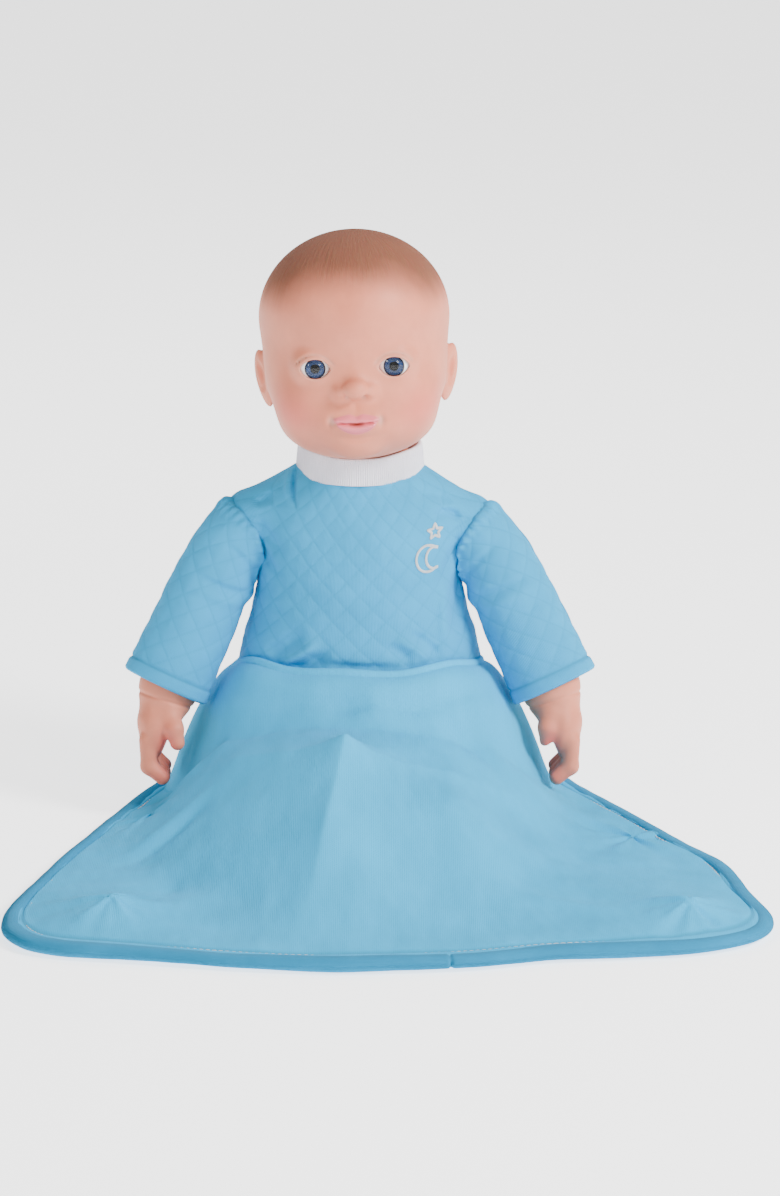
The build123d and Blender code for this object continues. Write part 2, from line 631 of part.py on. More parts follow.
def make_button():
    face = MODULE_FRONT - BUTTON_STANDS_OUT
    wall_back = MODULE_FRONT + MODULE_WALL
    flange_r, flange_t = BUTTON_FLANGE
    flange_front = wall_back + CLEAR / 4
    flange_back = flange_front + flange_t
    cap = rod_y(BUTTON_R, face, flange_back, 0, BUTTON_Z)
    cap = fillet(cap.edges().sort_by(Axis.Y)[0], BUTTON_EDGE_R)
    cap += rod_y(flange_r, flange_front, flange_back, 0, BUTTON_Z)
    stem_back = BOARD_Y - CONTACT_PAD[2] - BUTTON_TRAVEL - BUTTON_GAP
    cap += rod_y(BUTTON_STEM_R, flange_front, stem_back, 0, BUTTON_Z)
    save("tummy_button", cap)
    coil_back = BOARD_Y - SPRING_WIRE_R
    length = coil_back - flange_back - SPRING_WIRE_R
    helix = Helix(pitch=length / SPRING_TURNS, height=length, radius=SPRING_R)
    coil = sweep(Plane(origin=helix @ 0, z_dir=helix % 0) * Circle(SPRING_WIRE_R), path=helix)
    save("tummy_spring", Pos(0, coil_back, BUTTON_Z) * Rot(90, 0, 0) * coil)


def make_wires():
    """Two leads from the board to the speaker, in front of the board."""
    leads = Part()
    for x in (-WIRE_X, WIRE_X):
        start = Vector(x, BOARD_Y, WIRE_Z)
        corner = start - Vector(0, WIRE_REACH, 0)
        path = FilletPolyline(start, corner, corner + Vector(0, 0, WIRE_RISE), radius=WIRE_BEND)
        leads += sweep(Plane(origin=start, z_dir=(0, -1, 0)) * Circle(WIRE_R), path=path)
    save("module_wires", leads)


os.makedirs("parts", exist_ok=True)
make_head()
make_eyes()
make_neck()
make_torso()
make_bodice()
make_bag()
make_arms()
make_legs()
make_module_cases()
make_batteries()
make_speaker()
make_board()
make_button()
make_wires()
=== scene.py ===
import json
import math

import bpy
import numpy as np
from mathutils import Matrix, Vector


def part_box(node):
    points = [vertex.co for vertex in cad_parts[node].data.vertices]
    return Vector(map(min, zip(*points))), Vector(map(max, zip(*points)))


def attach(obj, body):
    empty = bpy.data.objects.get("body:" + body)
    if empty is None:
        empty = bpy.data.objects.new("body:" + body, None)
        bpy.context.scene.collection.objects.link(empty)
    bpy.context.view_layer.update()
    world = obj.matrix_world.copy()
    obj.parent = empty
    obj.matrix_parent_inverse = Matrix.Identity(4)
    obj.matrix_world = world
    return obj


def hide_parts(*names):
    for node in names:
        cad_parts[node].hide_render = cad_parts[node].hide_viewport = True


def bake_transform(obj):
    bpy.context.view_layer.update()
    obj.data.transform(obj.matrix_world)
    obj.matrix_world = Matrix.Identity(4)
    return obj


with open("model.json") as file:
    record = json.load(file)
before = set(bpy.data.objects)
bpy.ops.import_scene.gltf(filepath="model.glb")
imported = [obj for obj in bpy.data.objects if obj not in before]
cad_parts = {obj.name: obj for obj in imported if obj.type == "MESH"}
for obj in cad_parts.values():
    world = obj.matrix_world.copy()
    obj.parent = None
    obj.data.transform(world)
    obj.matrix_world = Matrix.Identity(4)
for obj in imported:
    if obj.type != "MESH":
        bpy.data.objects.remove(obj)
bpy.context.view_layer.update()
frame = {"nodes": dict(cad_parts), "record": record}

# The row frame is in metres. Shapes below are worked out in millimetres and scaled by MM.
MM = 0.001
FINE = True
SIDES = {"left": 1.0, "right": -1.0}


# ---------------------------------------------------------------- numbers and fields

def smoothstep(low, high, value):
    """A smooth rise from 0 at low to 1 at high."""
    t = np.clip((value - low) / (high - low), 0.0, 1.0)
    return t * t * (3.0 - 2.0 * t)


def bell(value, width):
    """A bump of height 1 that fades over the width."""
    return np.exp(-(value / width) ** 2)


def smooth_min(a, b, radius):
    """The smaller of two fields, rounded where they meet."""
    h = np.maximum(radius - np.abs(a - b), 0.0) / radius
    return np.minimum(a, b) - h * h * radius * 0.25


def smooth_max(a, b, radius):
    return -smooth_min(-a, -b, radius)


def ellipsoid(p, centre, radii):
    """Distance to an ellipsoid, near enough for blending."""
    radii = np.array(radii, np.float32)
    q = (p - np.array(centre, np.float32)) / radii
    length = np.sqrt((q * q).sum(-1)) + 1e-6
    slope = np.sqrt(((q / radii) ** 2).sum(-1)) + 1e-6
    return length * (length - 1.0) / slope


def capsule(p, start, end, radius_start, radius_end):
    """Distance to a round limb that tapers from one end to the other."""
    start = np.array(start, np.float32)
    along = np.array(end, np.float32) - start
    t = np.clip(((p - start) @ along) / (along @ along), 0.0, 1.0)
    nearest = start + t[..., None] * along
    return np.sqrt(((p - nearest) ** 2).sum(-1)) - (radius_start + (radius_end - radius_start) * t)


def wobble(u, v, seed, pitch, octaves=3):
    """Soft, repeatable unevenness between -1 and 1 from a few waves at odd angles."""
    draw = np.random.RandomState(seed)
    total = np.zeros(np.broadcast(u, v).shape)
    weight = 1.0
    for octave in range(octaves):
        for _ in range(4):
            angle = draw.uniform(0, 2 * math.pi)
            phase = draw.uniform(0, 2 * math.pi)
            k = 2 * math.pi / (pitch * draw.uniform(0.75, 1.3) * 0.55 ** octave)
            total += weight * np.sin(k * (u * math.cos(angle) + v * math.sin(angle)) + phase)
        weight *= 0.5
    return total / 7.0


# ---------------------------------------------------------------- meshes

def make_object(name, points_mm, faces, smooth=True):
    """A mesh object from points in millimetres and an array or list of faces."""
    mesh = bpy.data.meshes.new(name)
    mesh.from_pydata((np.asarray(points_mm) * MM).tolist(), [], [list(map(int, f)) for f in faces])
    mesh.validate()
    if smooth:
        mesh.polygons.foreach_set("use_smooth", [True] * len(mesh.polygons))
    mesh.update()
    made = bpy.data.objects.new(name, mesh)
    bpy.context.scene.collection.objects.link(made)
    return made


def add_mask(piece, name, values):
    """A number for each point, such as where paint lies."""
    layer = piece.data.attributes.new(name, "FLOAT", "POINT")
    layer.data.foreach_set("value", np.asarray(values, np.float32).ravel())


def add_place(piece, name, values):
    """A vector for each point, such as its place on the flat cloth in millimetres."""
    layer = piece.data.attributes.new(name, "FLOAT_VECTOR", "POINT")
    layer.data.foreach_set("vector", np.asarray(values, np.float32).ravel())


def grid_faces(rows, columns, closed=False):
    """Quads between the points of a grid; closed joins its last column to its first."""
    index = np.arange(rows * columns).reshape(rows, columns)
    if closed:
        index = np.concatenate([index, index[:, :1]], axis=1)
    a, b = index[:-1, :-1], index[:-1, 1:]
    c, d = index[1:, 1:], index[1:, :-1]
    return np.stack([a, b, c, d], -1).reshape(-1, 4)


def surface_net(field, low, high, step):
    """Quads round a field's zero surface, with each point moved onto it."""
    axes = [np.arange(low[i], high[i] + step, step, dtype=np.float32) for i in range(3)]
    shape = tuple(len(a) for a in axes)
    values = np.empty(shape, np.float32)
    for i, x in enumerate(axes[0]):
        plane = np.stack(np.meshgrid([x], axes[1], axes[2], indexing="ij"), -1)
        values[i] = field(plane.reshape(-1, 3)).reshape(shape[1:])
    corner = [(i, j, k) for i in (0, 1) for j in (0, 1) for k in (0, 1)]
    cells = np.stack([values[i:shape[0] - 1 + i, j:shape[1] - 1 + j, k:shape[2] - 1 + k]
                      for i, j, k in corner], -1)
    count = (cells < 0).sum(-1)
    mixed = (count > 0) & (count < 8)
    number = np.full(mixed.shape, -1, np.int64)
    number[mixed] = np.arange(mixed.sum())
    base = np.argwhere(mixed)
    at = cells[mixed]
    total = np.zeros((len(base), 3))
    crossings = np.zeros(len(base))
    for a in range(8):
        for b in range(a + 1, 8):
            if sum(abs(corner[a][i] - corner[b][i]) for i in range(3)) != 1:
                continue
            cut = (at[:, a] < 0) != (at[:, b] < 0)
            t = at[cut, a] / (at[cut, a] - at[cut, b])
            from_a = np.array(corner[a], float)
            step_ab = np.array(corner[b], float) - from_a
            total[cut] += from_a + step_ab * t[:, None]
            crossings[cut] += 1
    points = np.array(low) + (base + total / crossings[:, None]) * step
    faces = []
    for axis in range(3):
        u, v = (axis + 1) % 3, (axis + 2) % 3
        here = [slice(0, s) for s in shape]
        there = [slice(0, s) for s in shape]
        here[axis] = slice(0, shape[axis] - 1)
        there[axis] = slice(1, shape[axis])
        first = values[tuple(here)] < 0
        changed = first != (values[tuple(there)] < 0)
        edge = np.argwhere(changed)
        edge = edge[(edge[:, u] > 0) & (edge[:, v] > 0)
                    & (edge[:, u] < shape[u] - 1) & (edge[:, v] < shape[v] - 1)]
        ring = []
        for du, dv in ((-1, -1), (0, -1), (0, 0), (-1, 0)):
            cell = edge.copy()
            cell[:, u] += du
            cell[:, v] += dv
            ring.append(number[cell[:, 0], cell[:, 1], cell[:, 2]])
        quad = np.stack(ring, -1)
        outward = first[edge[:, 0], edge[:, 1], edge[:, 2]]
        quad[~outward] = quad[~outward][:, ::-1]
        faces.append(quad)
    faces = np.concatenate(faces)
    small = step * 0.2
    for _ in range(3):
        p = points.astype(np.float32)
        here = field(p)
        slope = np.stack([(field(p + small * np.eye(3, dtype=np.float32)[i]) - here) / small
                          for i in range(3)], -1)
        move = slope * (here / np.maximum((slope ** 2).sum(-1), 0.25))[:, None]
        points = points - np.clip(move, -step * 0.5, step * 0.5)
    return points, faces


def finish_piece(piece, material, body, node=None):
    """A piece's material, the body that carries it and the node that it stands for."""
    piece.data.materials.append(material)
    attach(piece, body)
    if node:
        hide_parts(node)


def thicken(piece, millimetres):
    """Gives a surface some thickness, added on its inner side."""
    modifier = piece.modifiers.new("thickness", "SOLIDIFY")
    modifier.thickness = millimetres * MM
    modifier.offset = -1.0


# ---------------------------------------------------------------- materials

class Nodes:
    """A short way to write one material's nodes."""

    def __init__(self, name):
        self.material = bpy.data.materials.new(name)
        self.material.use_nodes = True
        self.tree = self.material.node_tree
        self.shader = self.tree.nodes["Principled BSDF"]

    def add(self, kind, **settings):
        node = self.tree.nodes.new(kind)
        for key, value in settings.items():
            setattr(node, key, value)
        return node

    def link(self, source, target):
        self.tree.links.new(source, target)

    def set(self, **values):
        for key, value in values.items():
            self.shader.inputs[key.replace("_", " ")].default_value = value

    def attribute(self, name, output="Fac"):
        return self.add("ShaderNodeAttribute", attribute_name=name).outputs[output]

    def place(self):
        """The point's own place in the frame, in metres."""
        return self.add("ShaderNodeTexCoord").outputs["Object"]

    def math(self, operation, a, b=0.0, clamp=False):
        node = self.add("ShaderNodeMath", operation=operation, use_clamp=clamp)
        for socket, value in zip(node.inputs, (a, b)):
            if isinstance(value, (int, float)):
                socket.default_value = value
            else:
                self.link(value, socket)
        return node.outputs[0]

    def noise(self, vector, scale, detail=3.0, roughness=0.5):
        node = self.add("ShaderNodeTexNoise")
        node.inputs["Scale"].default_value = scale
        node.inputs["Detail"].default_value = detail
        node.inputs["Roughness"].default_value = roughness
        self.link(vector, node.inputs["Vector"])
        return node.outputs["Fac"]

    def stretch(self, vector, scale):
        node = self.add("ShaderNodeMapping")
        node.inputs["Scale"].default_value = scale
        self.link(vector, node.inputs["Vector"])
        return node.outputs["Vector"]

    def ramp(self, factor, stops):
        node = self.add("ShaderNodeValToRGB")
        ramp = node.color_ramp
        while len(ramp.elements) < len(stops):
            ramp.elements.new(0.5)
        for element, (place, colour) in zip(ramp.elements, stops):
            element.position = place
            element.color = (*colour, 1.0)
        self.link(factor, node.inputs["Fac"])
        return node.outputs["Color"]

    def mix(self, factor, a, b, blend="MIX"):
        node = self.add("ShaderNodeMix", data_type="RGBA", blend_type=blend)
        for socket, value in ((node.inputs[0], factor), (node.inputs[6], a), (node.inputs[7], b)):
            if isinstance(value, (int, float)):
                socket.default_value = value
            elif isinstance(value, tuple):
                socket.default_value = (*value, 1.0)
            else:
                self.link(value, socket)
        return node.outputs[2]

    def colour(self, source):
        if isinstance(source, tuple):
            self.shader.inputs["Base Color"].default_value = (*source, 1.0)
        else:
            self.link(source, self.shader.inputs["Base Color"])

    def rough(self, source):
        self.link(source, self.shader.inputs["Roughness"])

    def bump(self, height, distance_mm, strength=1.0, before=None):
        node = self.add("ShaderNodeBump")
        node.inputs["Strength"].default_value = strength
        node.inputs["Distance"].default_value = distance_mm * MM
        self.link(height, node.inputs["Height"])
        if before is not None:
            self.link(before, node.inputs["Normal"])
        self.link(node.outputs["Normal"], self.shader.inputs["Normal"])
        return node.outputs["Normal"]


def skin_material(name, base=(0.67, 0.225, 0.135)):
    """Soft rotocast vinyl: matt skin colour, faint mottling, painted lips, cheeks and hair by mask, and
    painted shade by mask where the lips part and, over red crease paint, in the palms' hollows.
    """
    n = Nodes(name)
    place = n.place()
    mottle = n.noise(place, 45.0, 4.0, 0.6)
    pale = tuple(min(1.0, c * 1.10) for c in base)
    warm = (base[0] * 0.97, base[1] * 0.90, base[2] * 0.88)
    colour = n.ramp(mottle, [(0.30, warm), (0.70, pale)])
    # The blush mask holds the cheeks' and fingertips' blush, and painted shade in the palms' hollows.
    colour = n.mix(n.attribute("blush_and_palm_shade"), colour, (0.74, 0.10, 0.09))
    grain = n.noise(n.attribute("hair_way", "Vector"), 1.0, 2.0, 0.6)
    strands = n.ramp(grain, [(0.35, (0.055, 0.018, 0.008)), (0.62, (0.20, 0.075, 0.038))])
    density = n.math("ADD", n.math("MULTIPLY", grain, 0.8), 0.45)
    hair = n.math("MULTIPLY", n.attribute("hair"), density, clamp=True)
    colour = n.mix(hair, colour, strands)
    colour = n.mix(n.attribute("lips"), colour, (0.80, 0.19, 0.22))
    # Darker red where the lips part: painted shade of the mouth's opening.
    colour = n.mix(n.attribute("mouth_gap_shade"), colour, (0.45, 0.10, 0.05))
    colour = n.mix(n.attribute("crease"), colour, (0.62, 0.30, 0.22))
    n.colour(colour)
    matt = n.math("ADD", n.math("MULTIPLY", mottle, 0.12), 0.45)
    roughness = n.math("SUBTRACT", matt, n.math("MULTIPLY", n.attribute("lips"), 0.36))
    roughness = n.math("ADD", roughness, n.math("MULTIPLY", n.attribute("hair"), 0.35))
    n.rough(roughness)
    fine = n.bump(n.noise(place, 900.0, 3.0, 0.6), 0.05, 0.5)
    n.bump(n.math("MULTIPLY", grain, n.attribute("hair")), 0.55, 0.9, before=fine)
    n.set(Subsurface_Weight=0.15, Subsurface_Scale=0.005, Specular_IOR_Level=0.30)
    n.shader.inputs["Subsurface Radius"].default_value = (1.0, 0.35, 0.2)
    return n.material


def cloth_material(name, base, weave="jersey", sheen=0.06):
    """Knitted cotton. The weave follows the flat cloth: jersey has fine ribs, quilt has stitched lines. A
    mask darkens the stitch lines and seam grooves as painted shade, and the gaps between the knit's loops are
    darkened as painted shade too.
    """
    n = Nodes(name)
    flat = n.attribute("flat", "Vector")
    fibres = n.noise(n.stretch(flat, (2.2, 2.2, 2.2)), 1.0, 4.0, 0.65)
    patches = n.noise(n.stretch(flat, (0.035, 0.035, 0.035)), 1.0, 3.0, 0.5)
    separate = n.add("ShaderNodeSeparateXYZ")
    n.link(flat, separate.inputs[0])
    u, v = separate.outputs[0], separate.outputs[1]
    pitch_u, pitch_v = {"jersey": (0.95, 0.7), "quilt": (0.8, 0.6), "rib": (0.5, 1.1)}[weave]
    wale = n.math("ABSOLUTE", n.math("SINE", n.math("MULTIPLY", u, math.pi / pitch_u)))
    course = n.math("ABSOLUTE", n.math("SINE", n.math("MULTIPLY", v, math.pi / pitch_v)))
    knit = n.math("MULTIPLY", wale, n.math("ADD", n.math("MULTIPLY", course, 0.5), 0.5))
    dark = tuple(c * 0.80 for c in base)
    light = tuple(min(1.0, c * 1.10) for c in base)
    shade = n.math("ADD", n.math("MULTIPLY", patches, 0.55), n.math("MULTIPLY", fibres, 0.45))
    colour = n.ramp(shade, [(0.30, dark), (0.72, light)])
    # Darker between the knit's loops: painted shade in the gaps of the knit.
    between = n.math("MULTIPLY", n.math("SUBTRACT", 1.0, knit), 0.12)
    colour = n.mix(between, colour, tuple(c * 0.6 for c in base))
    if weave != "rib":
        # Darker along stitch lines and seam grooves: painted shade in these sunken lines.
        colour = n.mix(n.attribute("stitch_groove_shade"), colour, tuple(c * 0.62 for c in base))
    n.colour(colour)
    n.rough(n.math("ADD", n.math("MULTIPLY", fibres, 0.18), 0.72))
    first = n.bump(knit, 0.18, 0.75)
    n.bump(fibres, 0.16, 0.8, before=first)
    n.set(Sheen_Weight=sheen, Sheen_Roughness=0.45, Specular_IOR_Level=0.12)
    return n.material


def thread_material(name, base):
    n = Nodes(name)
    place = n.place()
    twist = n.add("ShaderNodeTexWave", wave_type="BANDS", bands_direction="DIAGONAL")
    twist.inputs["Scale"].default_value = 900.0
    twist.inputs["Distortion"].default_value = 2.0
    n.link(place, twist.inputs["Vector"])
    fuzz = n.noise(place, 3000.0, 2.0)
    n.colour(n.mix(n.math("MULTIPLY", twist.outputs["Fac"], 0.5), tuple(c * 0.72 for c in base), base))
    n.rough(n.math("ADD", n.math("MULTIPLY", fuzz, 0.2), 0.45))
    n.bump(twist.outputs["Fac"], 0.2, 0.8)
    n.set(Sheen_Weight=0.2)
    return n.material


def plastic_material(name, base, rough_low, rough_high, grain_scale=500.0, metallic=0.0):
    """Moulded plastic or plain metal with fine grain and handling wear."""
    n = Nodes(name)
    place = n.place()
    grain = n.noise(place, grain_scale, 4.0, 0.6)
    wear = n.noise(place, 40.0, 3.0)
    dark = tuple(c * 0.88 for c in base)
    light = tuple(min(1, c * 1.06) for c in base)
    n.colour(n.ramp(wear, [(0.3, dark), (0.7, light)]))
    n.rough(n.math("ADD", n.math("MULTIPLY", grain, rough_high - rough_low), rough_low))
    n.bump(grain, 0.04, 0.5)
    n.set(Metallic=metallic)
    return n.material


# ---------------------------------------------------------------- camera, light, floor

CAMERA_AT = (0.017, -2.05, 0.66)
CAMERA_PITCH = 14.8
CAMERA_LENS = 113.0


def make_camera():
    data = bpy.data.cameras.new("camera")
    data.lens = CAMERA_LENS
    data.sensor_width = 36.0
    data.clip_start, data.clip_end = 0.05, 50.0
    camera = bpy.data.objects.new("camera", data)
    camera.location = CAMERA_AT
    camera.rotation_euler = (math.radians(90.0 - CAMERA_PITCH), 0.0, 0.0)
    bpy.context.scene.collection.objects.link(camera)
    bpy.context.scene.camera = camera


def area_light(name, place, target, size, watts, colour=(1, 1, 1)):
    data = bpy.data.lights.new(name, "AREA")
    data.shape = "DISK"
    data.size, data.energy, data.color = size, watts, colour
    light = bpy.data.objects.new(name, data)
    light.location = place
    way = [t - p for t, p in zip(target, place)]
    light.rotation_euler = Vector(way).to_track_quat("-Z", "Y").to_euler()
    bpy.context.scene.collection.objects.link(light)


def make_stage():
    floor = make_object("floor", [(-2e4, -2e4, 0), (2e4, -2e4, 0), (2e4, 2e4, 0), (-2e4, 2e4, 0)],
                        [(0, 1, 2, 3)], smooth=False)
    n = Nodes("floor")
    tone = n.noise(n.place(), 3.0, 2.0)
    n.colour(n.ramp(tone, [(0.3, (0.90, 0.90, 0.90)), (0.7, (0.93, 0.93, 0.93))]))
    n.set(Roughness=0.9, Specular_IOR_Level=0.1, Emission_Color=(1.0, 1.0, 1.0, 1.0), Emission_Strength=2.0)
    floor.data.materials.append(n.material)
    world = bpy.data.worlds.new("studio")
    world.use_nodes = True
    world.node_tree.nodes["Background"].inputs[0].default_value = (1.0, 1.0, 1.0, 1.0)
    world.node_tree.nodes["Background"].inputs[1].default_value = 0.42
    bpy.context.scene.world = world
    middle = (0.0, -0.05, 0.18)
    area_light("key", (1.5, -0.95, 1.4), middle, 0.7, 70.0)
    area_light("fill", (-1.4, -1.6, 0.9), middle, 0.3, 6.0)
    area_light("eye_light", (0.78, -1.77, 0.74), middle, 0.4, 9.0)
    area_light("rim", (-0.4, 1.3, 1.6), middle, 1.0, 16.0)


# ---------------------------------------------------------------- head

NECK_PIVOT = np.array([0.0, 5.0, 200.0])
HEAD_LEAN = math.radians(-2.1)
EYE_X, EYE_Y, EYE_Z, EYE_R = 21.4, -41.5, 261.0, 11.0
OPENING_HALF_W, OPENING_HALF_H = 8.6, 5.3
MOUTH_Z = 231.6
MOUTH_HALF_W = 14.0


def lean(points):
    """The head's slight lean about the neck, as in the frame."""
    c, s = math.cos(HEAD_LEAN), math.sin(HEAD_LEAN)
    q = points - NECK_PIVOT
    return NECK_PIVOT + np.stack([q[:, 0] * c + q[:, 2] * s, q[:, 1], -q[:, 0] * s + q[:, 2] * c], -1)


def almond(x, z):
    """Flat distance to the eye opening's outline, below 0 inside it."""
    radius = (OPENING_HALF_W ** 2 + OPENING_HALF_H ** 2) / (2 * OPENING_HALF_H)
    lift = radius - OPENING_HALF_H
    dx = np.abs(x) - EYE_X
    dz = z - EYE_Z
    upper = np.hypot(dx, dz + lift) - radius
    lower = np.hypot(dx, dz - lift) - radius
    return smooth_max(upper, lower, 1.2)


def lip_edges(x):
    """The height of the mouth line and of the lips' upper and lower edges above it."""
    across = np.clip(np.abs(x) / MOUTH_HALF_W, 0, 1)
    line = MOUTH_Z + 1.0 * across ** 2 - 0.35 * bell(x, 3.0)
    upper = 5.8 * np.sqrt(1 - across ** 2) * (1 - 0.25 * across) - 1.4 * bell(x, 2.1)
    lower = 5.8 * np.clip(1 - (x / 11.0) ** 2, 0, 1) ** 0.6
    return line, upper, lower


def lip_shape(x, z):
    """How far the lips stand out, and masks for their paint and for the painted shade in the gap between
    them.
    """
    line, upper, lower = lip_edges(x)
    above = (z - line) / np.maximum(upper, 0.4)
    below = (line - z) / np.maximum(lower, 0.4)
    swell_up = np.where((above > 0) & (above < 1), np.sin(np.pi * np.clip(above, 0, 1) ** 0.75), 0)
    swell_down = np.where((below > 0) & (below < 1), np.sin(np.pi * np.clip(below, 0, 1) ** 0.7), 0)
    edge = smoothstep(1.0, 0.72, np.abs(x) / MOUTH_HALF_W)
    out = (swell_up * 1.8 + swell_down * 2.4) * edge
    out -= 1.1 * bell(z - line, 0.55) * smoothstep(14.0, 10.0, np.abs(x))
    gap = np.clip(1 - (x / 4.6) ** 2, 0, 1)
    out -= 2.4 * gap * bell(z - line, 0.8)
    upper_paint = smoothstep(1.12, 0.88, above) * (above >= 0)
    lower_paint = smoothstep(1.12, 0.88, below) * (below >= 0)
    paint = np.maximum(upper_paint, lower_paint)
    paint = paint * smoothstep(1.02, 0.92, np.abs(x) / MOUTH_HALF_W)
    # Darker red where the lips part: painted shade of the mouth's opening.
    dark = gap ** 0.7 * bell(z - line, 0.75)
    return out, paint, dark


def head_field(p):
    x, y, z = p[:, 0], p[:, 1], p[:, 2]
    mirrored = np.stack([np.abs(x), y, z], -1)
    skull = ellipsoid(p, (0, 5, 279.5), (53.0, 60.0, 47.5))
    face = ellipsoid(p, (0, -8, 251), (50.2, 48.0, 43.0))
    d = smooth_min(skull, face, 10.0)
    d = smooth_min(d, ellipsoid(p, (0, -11.5, 224.8), (42.0, 43.0, 20.8)), 10.0)
    d = smooth_min(d, ellipsoid(p, (0, -14, 290), (42, 41, 30)), 12.0)
    d = smooth_min(d, ellipsoid(mirrored, (23.5, -30, 237), (17.5, 20.5, 16)), 12.0)
    d = smooth_min(d, ellipsoid(mirrored, (12, -46, 231), (11, 11, 10)), 9.0)
    d = smooth_min(d, ellipsoid(p, (0, -47, 219), (12, 8.5, 8.5)), 8.0)
    d = smooth_min(d, ellipsoid(p, (0, -50, 232), (14, 8.5, 9)), 7.0)
    neck = np.maximum(np.hypot(x, y - NECK_PIVOT[1]) - 27.0, np.maximum(NECK_PIVOT[2] - z, z - 225.0))
    d = smooth_min(d, neck, 6.0)

    socket = bell((mirrored[:, 0] - EYE_X + 2), 13.0) * bell(z - EYE_Z, 9.0)
    front = smoothstep(-28.0, -42.0, y)
    d = d + 0.8 * socket * front
    lids = np.sqrt(((mirrored - np.array([EYE_X, EYE_Y, EYE_Z], np.float32)) ** 2).sum(-1)) - (EYE_R + 1.7)
    d = smooth_min(d, lids, 3.5)

    bridge = ellipsoid(p, (0, -50.0, 255), (4.6, 4.6, 7.0))
    tip = ellipsoid(p, (0, -59.0, 250.6), (6.8, 6.0, 5.6))
    wings = ellipsoid(mirrored, (7.5, -55.4, 249.0), (3.7, 4.4, 3.7))
    nose = smooth_min(smooth_min(bridge, tip, 6.0), wings, 2.0)
    d = smooth_min(d, nose, 4.6)
    nostril = ellipsoid(mirrored, (4.5, -60.0, 246.0), (2.0, 3.4, 1.7))
    d = smooth_max(d, -nostril, 1.0)
    d = d + 0.4 * bell(x, 2.0) * bell(z - 240.5, 3.2) * front
    d = d + 1.2 * bell(z - 222.8 - 0.02 * x * x, 2.2) * bell(x, 10.0) * front
    corner = bell(mirrored[:, 0] - 13.6, 1.9) * bell(z - MOUTH_Z - 0.9, 3.0)
    d = d + 1.5 * corner * front
    out, _, _ = lip_shape(x, z)
    d = d - out * front

    outline = almond(x, z)
    crease = bell(outline - 2.6, 0.75) * smoothstep(EYE_Z + 1.0, EYE_Z + 3.5, z)
    d = d + 0.5 * crease * front
    ball = np.sqrt(((mirrored - np.array([EYE_X, EYE_Y, EYE_Z], np.float32)) ** 2).sum(-1)) - (EYE_R + 0.12)
    opening = smooth_max(outline, y - EYE_Y, 0.3)
    d = smooth_max(d, -opening, 0.9)
    d = np.maximum(d, -ball)

    turned = mirrored - np.array([50.0, 4.0, 245.0], np.float32)
    turned[:, 0] -= 0.13 * turned[:, 2]
    c, s = math.cos(0.45), math.sin(0.45)
    across = turned[:, 0] * c - turned[:, 1] * s
    along = turned[:, 0] * s + turned[:, 1] * c
    local = np.stack([across, along, turned[:, 2]], -1)
    lobe = smoothstep(-16.0, 4.0, local[:, 2])
    ear = ellipsoid(local, (0.6, 1.5, 0.5), (3.6, 9.0, 16.5)) + 0.5 * (1 - lobe)
    ear = smooth_max(ear, -ellipsoid(local, (4.6, -0.5, 2.0), (3.4, 5.4, 9.5)), 1.4)
    ear = smooth_min(ear, ellipsoid(local, (1.6, 2.5, 3.5), (2.6, 1.7, 7.5)), 1.4)
    ear = smooth_min(ear, ellipsoid(local, (0.6, -6.5, -1.0), (2.8, 2.6, 3.8)), 2.0)
    d = smooth_min(d, ear, 2.5)
    return d


def hair_masks(p):
    """Where the scalp is airbrushed, and a direction that the painted strands follow."""
    crown = np.array([0.0, 30.0, 322.0])
    x, y, z = p[:, 0], p[:, 1], p[:, 2]
    hairline = 305.0 - 13.0 * smoothstep(18.0, 48.0, np.abs(x)) - 20.0 * smoothstep(-5.0, 35.0, y) \
        - 38.0 * smoothstep(25.0, 60.0, y)
    hairline = hairline + 2.5 * wobble(x, y, 5, 22.0)
    mask = smoothstep(-7.0, 13.0, z - hairline)
    near_ear = bell(y - 6.0, 16.0) * smoothstep(270.0, 255.0, z) * smoothstep(40.0, 48.0, np.abs(x))
    mask = mask * (1 - near_ear)
    way = p - crown
    angle = np.arctan2(way[:, 0], -way[:, 1])
    distance = np.sqrt((way ** 2).sum(-1))
    around = np.stack([angle * 42.0, distance * 0.07, np.zeros_like(distance)], -1)
    return mask, around


def make_head(material):
    step = 0.85 if FINE else 1.5
    points, faces = surface_net(head_field, (-62, -72, 197), (62, 70, 331), step)
    x, y, z = points[:, 0], points[:, 1], points[:, 2]
    front = smoothstep(-35.0, -45.0, y)
    _, paint, dark = lip_shape(x, z)
    outline = almond(x, z)
    crease = bell(outline - 2.4, 0.9) * smoothstep(EYE_Z + 0.5, EYE_Z + 3.0, z) * 0.6
    rim = bell(outline - 0.3, 0.7) * 0.5
    corner = bell(np.abs(x) - 13.4, 1.8) * bell(z - MOUTH_Z - 0.9, 2.4)
    nostril = bell(np.abs(x) - 4.6, 1.6) * bell(z - 246.2, 1.4) * 0.8
    cheek = bell(np.abs(x) - 35.0, 13.0) * bell(z - 236.0, 12.0) * smoothstep(10.0, -20.0, y)
    hair, around = hair_masks(points)
    head = make_object("head_skin", lean(points), faces)
    add_mask(head, "lips", paint * front)
    add_mask(head, "mouth_gap_shade", dark * front)
    add_mask(head, "crease", np.clip(crease + rim + corner + nostril, 0, 0.75) * front)
    add_mask(head, "blush_and_palm_shade", cheek * 0.42)
    add_mask(head, "hair", hair)
    add_place(head, "hair_way", around)
    finish_piece(head, material, "head", "head_shell")


